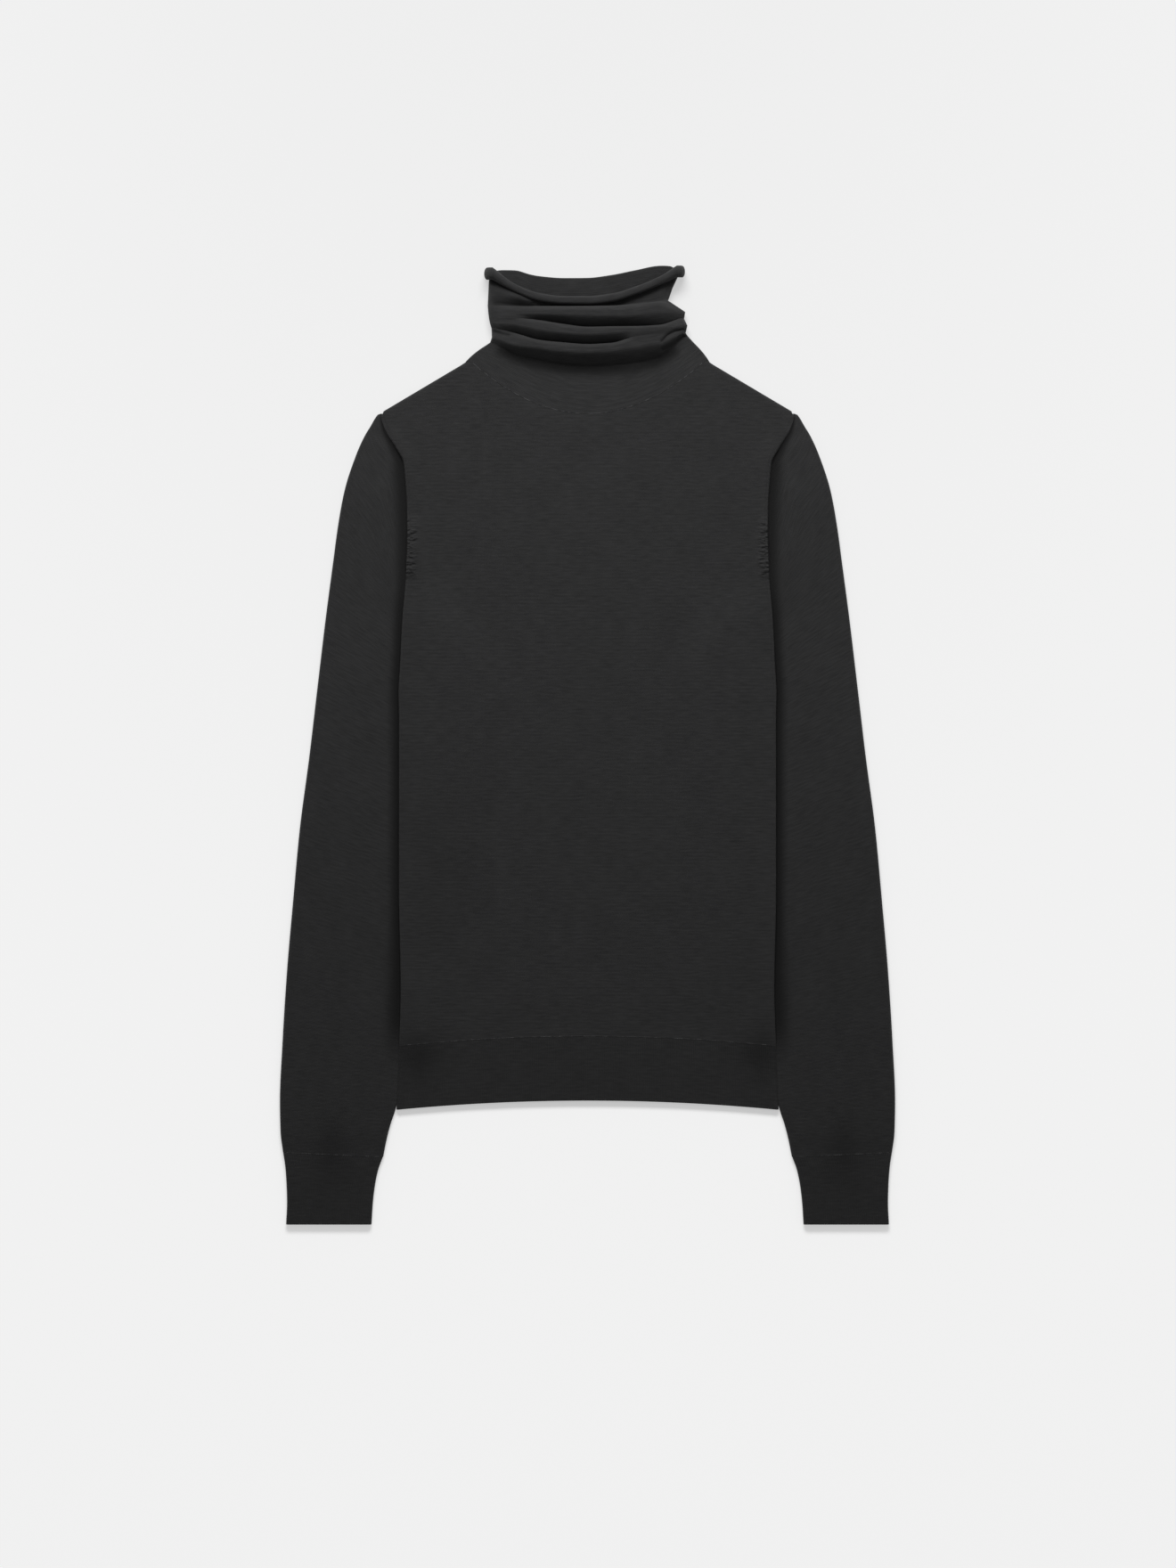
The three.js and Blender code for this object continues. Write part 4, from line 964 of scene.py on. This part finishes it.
class NodeMaker:
    """Adds nodes to one tree and joins them."""

    def __init__(self, tree):
        self.tree = tree

    def feed(self, node, inputs):
        """Sets a node's inputs to plain values, or links them to other nodes' outputs."""
        for name, value in inputs.items():
            if isinstance(value, bpy.types.NodeSocket):
                self.tree.links.new(value, node.inputs[name])
            else:
                node.inputs[name].default_value = value
        return node

    def add(self, kind, inputs=None, **settings):
        """A new shader node with its settings and inputs."""
        node = self.tree.nodes.new(f"ShaderNode{kind}")
        for name, value in settings.items():
            setattr(node, name, value)
        return self.feed(node, inputs or {})

    def math(self, operation, *values):
        """The result of a math node fed by sockets or plain numbers."""
        return self.add("Math", dict(enumerate(values)), operation=operation).outputs[0]

    def noise(self, place, scale, detail, stretch=None):
        """A noise over places, which may be stretched first."""
        if stretch is not None:
            place = self.add("Mapping", {"Vector": place, "Scale": stretch}).outputs[0]
        return self.add("TexNoise", {"Vector": place, "Scale": scale, "Detail": detail}).outputs["Fac"]

    def blend(self, factor, first, second):
        """A colour between two."""
        inputs = {"Factor": factor, "A": first, "B": second}
        return self.add("Mix", inputs, data_type="RGBA").outputs["Result"]


def new_material(name):
    """A new material, the maker of its nodes, and its shader."""
    material = bpy.data.materials.new(name)
    material.use_nodes = True
    return material, NodeMaker(material.node_tree), material.node_tree.nodes["Principled BSDF"]


def tinted(colour, share):
    """A colour made lighter or darker."""
    return (*[part * share for part in colour], 1)


def knit_group():
    """Node group: the relief of knit stitches, the painted shade of the gaps between them, and the uneven
    yarn.
    """
    group = bpy.data.node_groups.new("knit_stitches", "ShaderNodeTree")
    for name, kind in (("Flat", "Vector"), ("Wale", "Float"), ("Course", "Float"), ("Pucker", "Float")):
        group.interface.new_socket(name=name, in_out="INPUT", socket_type=f"NodeSocket{kind}")
    for name in ("Height", "Gap_shade", "Shade"):
        group.interface.new_socket(name=name, in_out="OUTPUT", socket_type="NodeSocketFloat")
    given = group.nodes.new("NodeGroupInput").outputs
    make = NodeMaker(group)
    flat = given["Flat"]
    split = make.add("SeparateXYZ", {0: flat}).outputs
    sway = make.math("MULTIPLY_ADD", make.noise(flat, 260, 2), 0.5, -0.25)
    across = make.math("ADD", make.math("DIVIDE", split["X"], given["Wale"]), sway)
    upward = make.math("ADD", make.math("DIVIDE", split["Y"], given["Course"]), sway)
    leg = make.math("ABSOLUTE", make.math("SUBTRACT", make.math("FRACT", across), 0.5))
    leg = make.math("MULTIPLY", leg, 2)
    crown = make.math("SINE", make.math("MULTIPLY", leg, math.pi))
    slant = make.math("MULTIPLY_ADD", leg, 0.7, upward)
    loop = make.math("COSINE", make.math("MULTIPLY", slant, 2 * math.pi))
    loop = make.math("MULTIPLY_ADD", loop, 0.35, 0.65)
    relief = make.math("MULTIPLY", crown, loop)
    wrinkles = make.noise(flat, 1, 1, stretch=(130, 300, 1))
    pulled = make.math("MULTIPLY", wrinkles, given["Pucker"])
    streaks = make.noise(flat, 1, 3, stretch=(90, 640, 1))
    shade = make.math("MULTIPLY_ADD", streaks, 1.6, -0.38)
    make.feed(group.nodes.new("NodeGroupOutput"), {
        "Height": make.math("MULTIPLY_ADD", pulled, 20, relief),
        # Painted shade of the gaps, darkest where the stitch relief is lowest
        "Gap_shade": make.math("POWER", make.math("SUBTRACT", 1, relief), 2),
        "Shade": make.math("MULTIPLY_ADD", make.noise(flat, 34, 2), 0.5, shade),
    })
    return group


def cloth_material(name, group, yarn, wale, course, depth):
    """A knit cloth: stitch relief, painted shade in the gaps between the stitches, uneven yarn, and painted
    shade from the piece's own mark of valleys, creases, dents and shadows.
    """
    material, make, shader = new_material(name)
    # The piece's own mark of painted shade, for valleys, creases, dents and shadows under folds
    painted_shade = make.add("Attribute", attribute_name="painted_shade").outputs["Fac"]
    stitches = make.add("Group", {
        "Flat": make.add("UVMap", uv_map="flat").outputs[0], "Wale": wale, "Course": course,
        "Pucker": make.add("Attribute", attribute_name="pucker").outputs["Fac"],
    }, node_tree=group).outputs
    paint = make.blend(stitches["Shade"], tinted(yarn, 0.6), tinted(yarn, 1.4))
    # Painted shade in the gaps between the stitches
    paint = make.blend(make.math("MULTIPLY", stitches["Gap_shade"], 0.5), paint, tinted(yarn, 0.45))
    # Painted shade: the yarn darkened towards 0.12 of its colour where the piece's shade mark is full
    paint = make.blend(painted_shade, paint, tinted(yarn, 0.12))
    bump = make.add("Bump", {"Strength": 1.0, "Distance": depth, "Height": stitches["Height"]})
    make.feed(shader, {
        "Roughness": 0.92, "Specular IOR Level": 0.25, "Sheen Weight": 0.06, "Sheen Roughness": 0.6,
        "Base Color": paint, "Normal": bump.outputs["Normal"],
    })
    return material


def knit_materials():
    """The plain knit and the rib knit, made once."""
    cloth = bpy.context.scene.sweater_cloth
    if "fine_jersey" not in bpy.data.materials:
        group = knit_group()
        cloth_material("fine_jersey", group, cloth.yarn, cloth.wale, cloth.course, PLAIN_RELIEF)
        cloth_material("fine_rib", group, cloth.rib_yarn, cloth.rib_pitch, cloth.course, RIBBED_RELIEF)
    return bpy.data.materials["fine_jersey"], bpy.data.materials["fine_rib"]


def linking_yarn_material(yarn):
    """The linking yarn, with painted highlights: here and there a stitch is painted lighter, as if it
    caught more light.
    """
    material, make, shader = new_material("linking_yarn")
    patches = make.noise(make.add("TexCoord").outputs["Object"], 210, 2)
    # Painted highlight: here and there a stitch painted up to three times lighter
    painted_highlight = make.math("MULTIPLY_ADD", patches, 5, -2.2)
    painted_highlight = make.math("MINIMUM", make.math("MAXIMUM", painted_highlight, 0), 1)
    paint = make.blend(painted_highlight, tinted(yarn, 1.05), tinted(yarn, 3.0))
    make.feed(shader, {"Roughness": 0.85, "Specular IOR Level": 0.25, "Base Color": paint})
    return material


def stitch_row(name, path, pitch, material):
    """A row of linking stitches along a seam's path on the cloth."""
    steps = np.linalg.norm(np.diff(path, axis=0), axis=1)
    travelled = np.concatenate([[0], np.cumsum(steps)])
    stops = np.arange(pitch / 2, travelled[-1], pitch)
    centres = np.stack([np.interp(stops, travelled, path[:, i]) for i in range(3)], axis=-1)
    size = Matrix.Diagonal((STITCH_SHARE * pitch * MM, STITCH_WIDTH / 2 * MM, STITCH_HEIGHT / 2 * MM, 1))
    row = bmesh.new()
    for centre, way in zip(centres, np.gradient(centres, axis=0)):
        turn = Matrix.Rotation(math.atan2(way[1], way[0]) + STITCH_SLANT, 4, "Z")
        matrix = Matrix.Translation(Vector(centre) * MM) @ turn @ size
        bmesh.ops.create_uvsphere(row, u_segments=6, v_segments=4, radius=1, matrix=matrix)
    for face in row.faces:
        face.smooth = True
    piece = new_object(name, mesh_of(name, row))
    piece.data.materials.append(material)
    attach(piece, "root")


def panel_rows(count, top_steps):
    """Rows of a panel: heights at its side, then the turned top edge."""
    bottom = hem_line(HEM_SEAM, HEM_SEAM["half"]) + SEAM_GAP
    sides = np.linspace(bottom, SIDE_TOP, count)
    turns = np.linspace(0, 1, top_steps + 1)[1:]
    return np.concatenate([sides, np.full(top_steps, SIDE_TOP)]), np.concatenate([0 * sides, turns])


def laid_places(points):
    """Flat places of a panel: its own width and length as laid, with its turned edges opened out."""
    steps = np.linalg.norm(np.diff(points, axis=1), axis=-1)
    across = np.concatenate([np.zeros((len(points), 1)), np.cumsum(steps, axis=1)], axis=1)
    middle = across[:, across.shape[1] // 2][:, None]
    return across - middle, points[..., 1]


class SWEATER_OT_body(bpy.types.Operator):
    """Makes the front and the back panel"""

    bl_idname = "sweater.body"
    bl_label = "Front and back"

    def execute(self, context):
        plain, _ = knit_materials()
        points = panel_points(FRONT, panel_columns(151, 5, 1.25), panel_rows(240, 4))
        x, y = points[..., 0], points[..., 1]
        # Painted shade in soft spots on the front, and puckers at the armhole
        marks = {"painted_shade": body_painted_shade(x, y), "pucker": body_pucker(x, y)}
        front = point_up(knitted("front_knit", points, laid_places(points), marks=marks), True)
        settle(front, "front", plain)
        points = panel_points(BACK, panel_columns(81, 4), panel_rows(140, 4))
        back = point_up(knitted("back_knit", points, laid_places(points)), False)
        settle(back, "back", plain)
        return {"FINISHED"}


class SWEATER_OT_sleeves(bpy.types.Operator):
    """Makes the two sleeves"""

    bl_idname = "sweater.sleeves"
    bl_label = "Sleeves"

    def execute(self, context):
        plain, _ = knit_materials()
        columns = tube_columns(np.linspace(0, 1, 81), np.linspace(1, 0, 41), 8)
        points = sleeve_points(columns, np.linspace(0, 1, 7), np.linspace(0, 16, 261))
        # Painted shade in the sleeve's valley, down the sleeve and at the wrist
        marks = {"painted_shade": sleeve_painted_shade(columns, points)}
        places = cloth_distances(points)
        right = point_up(knitted("sleeve_right_knit", points, places, around=True, marks=marks), True)
        for sleeve in settle_pair(right, "sleeve", plain):
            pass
        return {"FINISHED"}


class SWEATER_OT_collar(bpy.types.Operator):
    """Makes the tall collar with its slouch folds and rolled rim"""

    bl_idname = "sweater.collar"
    bl_label = "Collar"

    def execute(self, context):
        plain, _ = knit_materials()
        columns = collar_columns(181, 10, 61)
        points = collar_points(columns)
        # Painted shade in the collar's creases, and painted shadows under the roll and the lowest fold
        marks = {"painted_shade": press_and_shade_collar(points, columns)}
        places = cloth_distances(points)
        collar = point_up(knitted("collar_knit", points, places, around=True, marks=marks), True)
        settle(collar, "collar", plain)
        return {"FINISHED"}


def rib_relief(count):
    """Relief of the ribs, from how many ribs lie before each column."""
    return RIB_RELIEF * np.cos(2 * math.pi * count)[None, :] / 2


class SWEATER_OT_ribs(bpy.types.Operator):
    """Makes the hem ribs and the cuffs"""

    bl_idname = "sweater.ribs"
    bl_label = "Hem ribs and cuffs"

    def execute(self, context):
        _, ribbed = knit_materials()
        pitch = context.scene.sweater_cloth.rib_pitch / MM
        ribs = round(2 * HEM_SEAM["half"] / pitch)
        columns = panel_columns(4 * ribs + 1, 3)
        count = columns[0] * ribs / 2
        flat = (count * pitch, -np.linspace(0, HEM_LENGTH, 15))
        hems = ((FRONT, "hem_front", "hem_back_rib", True), (BACK, "hem_back", "floor", False))
        for panel, node, rests, up in hems:
            points = hem_points(panel, columns, np.linspace(0, 1, 15), rib_relief(count))
            # Painted shade by the front hem's corners; none on the back hem
            marks = {"painted_shade": body_painted_shade(points[..., 0], points[..., 1]) * up}
            hem = point_up(knitted(f"{node}_rib", points, flat, marks=marks), up)
            settle(hem, node, ribbed)
        ribs = round(CUFF_WIDTH / pitch)
        columns = tube_columns(np.linspace(0, 1, 4 * ribs + 1), np.linspace(1, 0, 4 * ribs + 1), 6)
        count = columns["part"] * ribs
        points = cuff_points(columns, np.linspace(0, 1, 16), rib_relief(count))
        flat = (count * pitch, -np.linspace(0, CUFF_LENGTH, 16))
        # Painted shade at the wrist dent on the cuff's upper layer
        shade = wrist_painted_shade(points[..., 0], points[..., 1]) * (columns["turn"] < QUARTER)
        marks = {"painted_shade": shade}
        right = point_up(knitted("cuff_right_rib", points, flat, around=True, marks=marks), True)
        for cuff in settle_pair(right, "cuff", ribbed):
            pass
        return {"FINISHED"}


def floor_material(settings):
    """A floor of one even tone: its own glow makes up for the lamp's fall-off across it."""
    material, make, shader = new_material("pale_floor")
    place = make.add("TexCoord").outputs["Object"]
    towards = make.add("VectorMath", {0: KEY_PLACE, 1: place}, operation="SUBTRACT").outputs[0]

    def dot(second):
        return make.add("VectorMath", {0: towards, 1: second}, operation="DOT_PRODUCT").outputs["Value"]

    square = dot(towards)
    facing = make.math("MAXIMUM", dot((KEY_PLACE - KEY_AIM).normalized()), FACING_LEAST)
    spread = make.math("DIVIDE", make.math("DIVIDE", facing, square), square)
    lamp_light = make.math("MULTIPLY", spread, FLOOR_GAIN * settings.key_power * KEY_PLACE.z)
    paint = make.math("MINIMUM", make.math("DIVIDE", FLOOR_SHADOW, lamp_light), PAINT_MOST)
    light = make.math("ADD", lamp_light, settings.fill_strength)
    reflected = make.math("MULTIPLY", paint, light)
    glow = make.add("VectorMath", {0: settings.floor_tone, 1: reflected}, operation="SUBTRACT")
    make.feed(shader, {
        "Roughness": 1.0, "Specular IOR Level": 0.0, "Emission Strength": 1.0,
        "Base Color": paint, "Emission Color": glow.outputs[0],
    })
    return material


class SWEATER_OT_linking(bpy.types.Operator):
    """Makes the rows of linking stitches at the neck, the hem and the cuffs"""

    bl_idname = "sweater.linking"
    bl_label = "Linking stitches"

    def execute(self, context):
        cloth = context.scene.sweater_cloth
        yarn = linking_yarn_material(cloth.yarn)
        x = np.linspace(LINKING_INSET - NECK_X, NECK_X - LINKING_INSET, 400)
        y = top_edge(x, FRONT_NECK_LOW)
        rows = [("neck_linking", x, y, 0 * x + SHOULDER_TOP)]
        x = np.linspace(LINKING_INSET - HEM_SEAM["half"], HEM_SEAM["half"] - LINKING_INSET, 400)
        y = hem_line(HEM_SEAM, x)
        rows.append(("hem_linking", x, y, front_height(x, y)))
        x = np.linspace(CUFF_INNER(CUFF_TOP_Y) + LINKING_INSET, CUFF_OUTER(CUFF_TOP_Y) - LINKING_INSET, 90)
        y = cuff_seam_y(x)
        z = sleeve_height(x, 0 * x + SLEEVE_SEAM_Y)
        rows += [("cuff_right_linking", x, y, z), ("cuff_left_linking", -x, y, z)]
        for name, x, y, z in rows:
            stitch_row(name, np.stack([x, y, z + HALF_WALL], -1), cloth.wale / MM, yarn)
        return {"FINISHED"}


class SWEATER_OT_stage(bpy.types.Operator):
    """Makes the floor, the soft lights and the camera"""

    bl_idname = "sweater.stage"
    bl_label = "Stage"

    def execute(self, context):
        scene = context.scene
        settings = scene.sweater_stage
        ground = bmesh.new()
        bmesh.ops.create_grid(ground, x_segments=2, y_segments=2, size=FLOOR_HALF)
        floor = new_object("floor", mesh_of("floor", ground))
        floor.data.materials.append(floor_material(settings))

        key = bpy.data.lights.new("key", "AREA")
        key.shape = "RECTANGLE"
        key.size, key.size_y = KEY_SIZE
        key.energy = settings.key_power
        lamp = new_object("key", key)
        lamp.location = KEY_PLACE
        lamp.rotation_euler = (KEY_AIM - KEY_PLACE).to_track_quat("-Z", "Y").to_euler()

        world = bpy.data.worlds.new("studio")
        world.use_nodes = True
        nodes = world.node_tree.nodes
        make = NodeMaker(world.node_tree)
        sky = make.feed(nodes["Background"], {"Color": (1, 1, 1, 1), "Strength": settings.fill_strength})
        backdrop = make.add("Background", {"Color": (*settings.floor_tone, 1)})
        seen = make.add("LightPath").outputs["Is Camera Ray"]
        chosen = make.add("MixShader", {"Fac": seen, 1: sky.outputs[0], 2: backdrop.outputs[0]})
        make.feed(nodes["World Output"], {"Surface": chosen.outputs[0]})
        scene.world = world

        lens = bpy.data.cameras.new("camera")
        lens.sensor_width = SENSOR_WIDTH
        lens.lens = SENSOR_WIDTH / 2 * CAMERA_DISTANCE / VIEW_HALF
        camera = new_object("camera", lens)
        camera.location = (*CAMERA_AIM, CAMERA_DISTANCE + FRONT_LEVEL)
        scene.camera = camera
        scene.view_settings.view_transform = "Standard"
        return {"FINISHED"}


STEPS = (
    SWEATER_OT_body, SWEATER_OT_sleeves, SWEATER_OT_collar, SWEATER_OT_ribs, SWEATER_OT_linking,
    SWEATER_OT_stage,
)


class SWEATER_PT_panel(bpy.types.Panel):
    """Lists the sweater's sizes and steps"""

    bl_idname = "SWEATER_PT_panel"
    bl_label = "Turtleneck sweater"
    bl_space_type = "VIEW_3D"
    bl_region_type = "UI"
    bl_category = "Sweater"

    def draw(self, context):
        for group in (context.scene.sweater_cloth, context.scene.sweater_stage):
            for name in group.__annotations__:
                self.layout.prop(group, name)
        for step in STEPS:
            self.layout.operator(step.bl_idname)


CLASSES = (SweaterCloth, SweaterStage, *STEPS, SWEATER_PT_panel)


def register():
    for item in CLASSES:
        bpy.utils.register_class(item)
    bpy.types.Scene.sweater_cloth = PointerProperty(type=SweaterCloth)
    bpy.types.Scene.sweater_stage = PointerProperty(type=SweaterStage)


def unregister():
    del bpy.types.Scene.sweater_stage
    del bpy.types.Scene.sweater_cloth
    for item in reversed(CLASSES):
        bpy.utils.unregister_class(item)


def main():
    """Makes the whole sweater on its stage."""
    register()
    bpy.ops.sweater.body()
    bpy.ops.sweater.sleeves()
    bpy.ops.sweater.collar()
    bpy.ops.sweater.ribs()
    bpy.ops.sweater.linking()
    bpy.ops.sweater.stage()


if __name__ == "__main__":
    main()
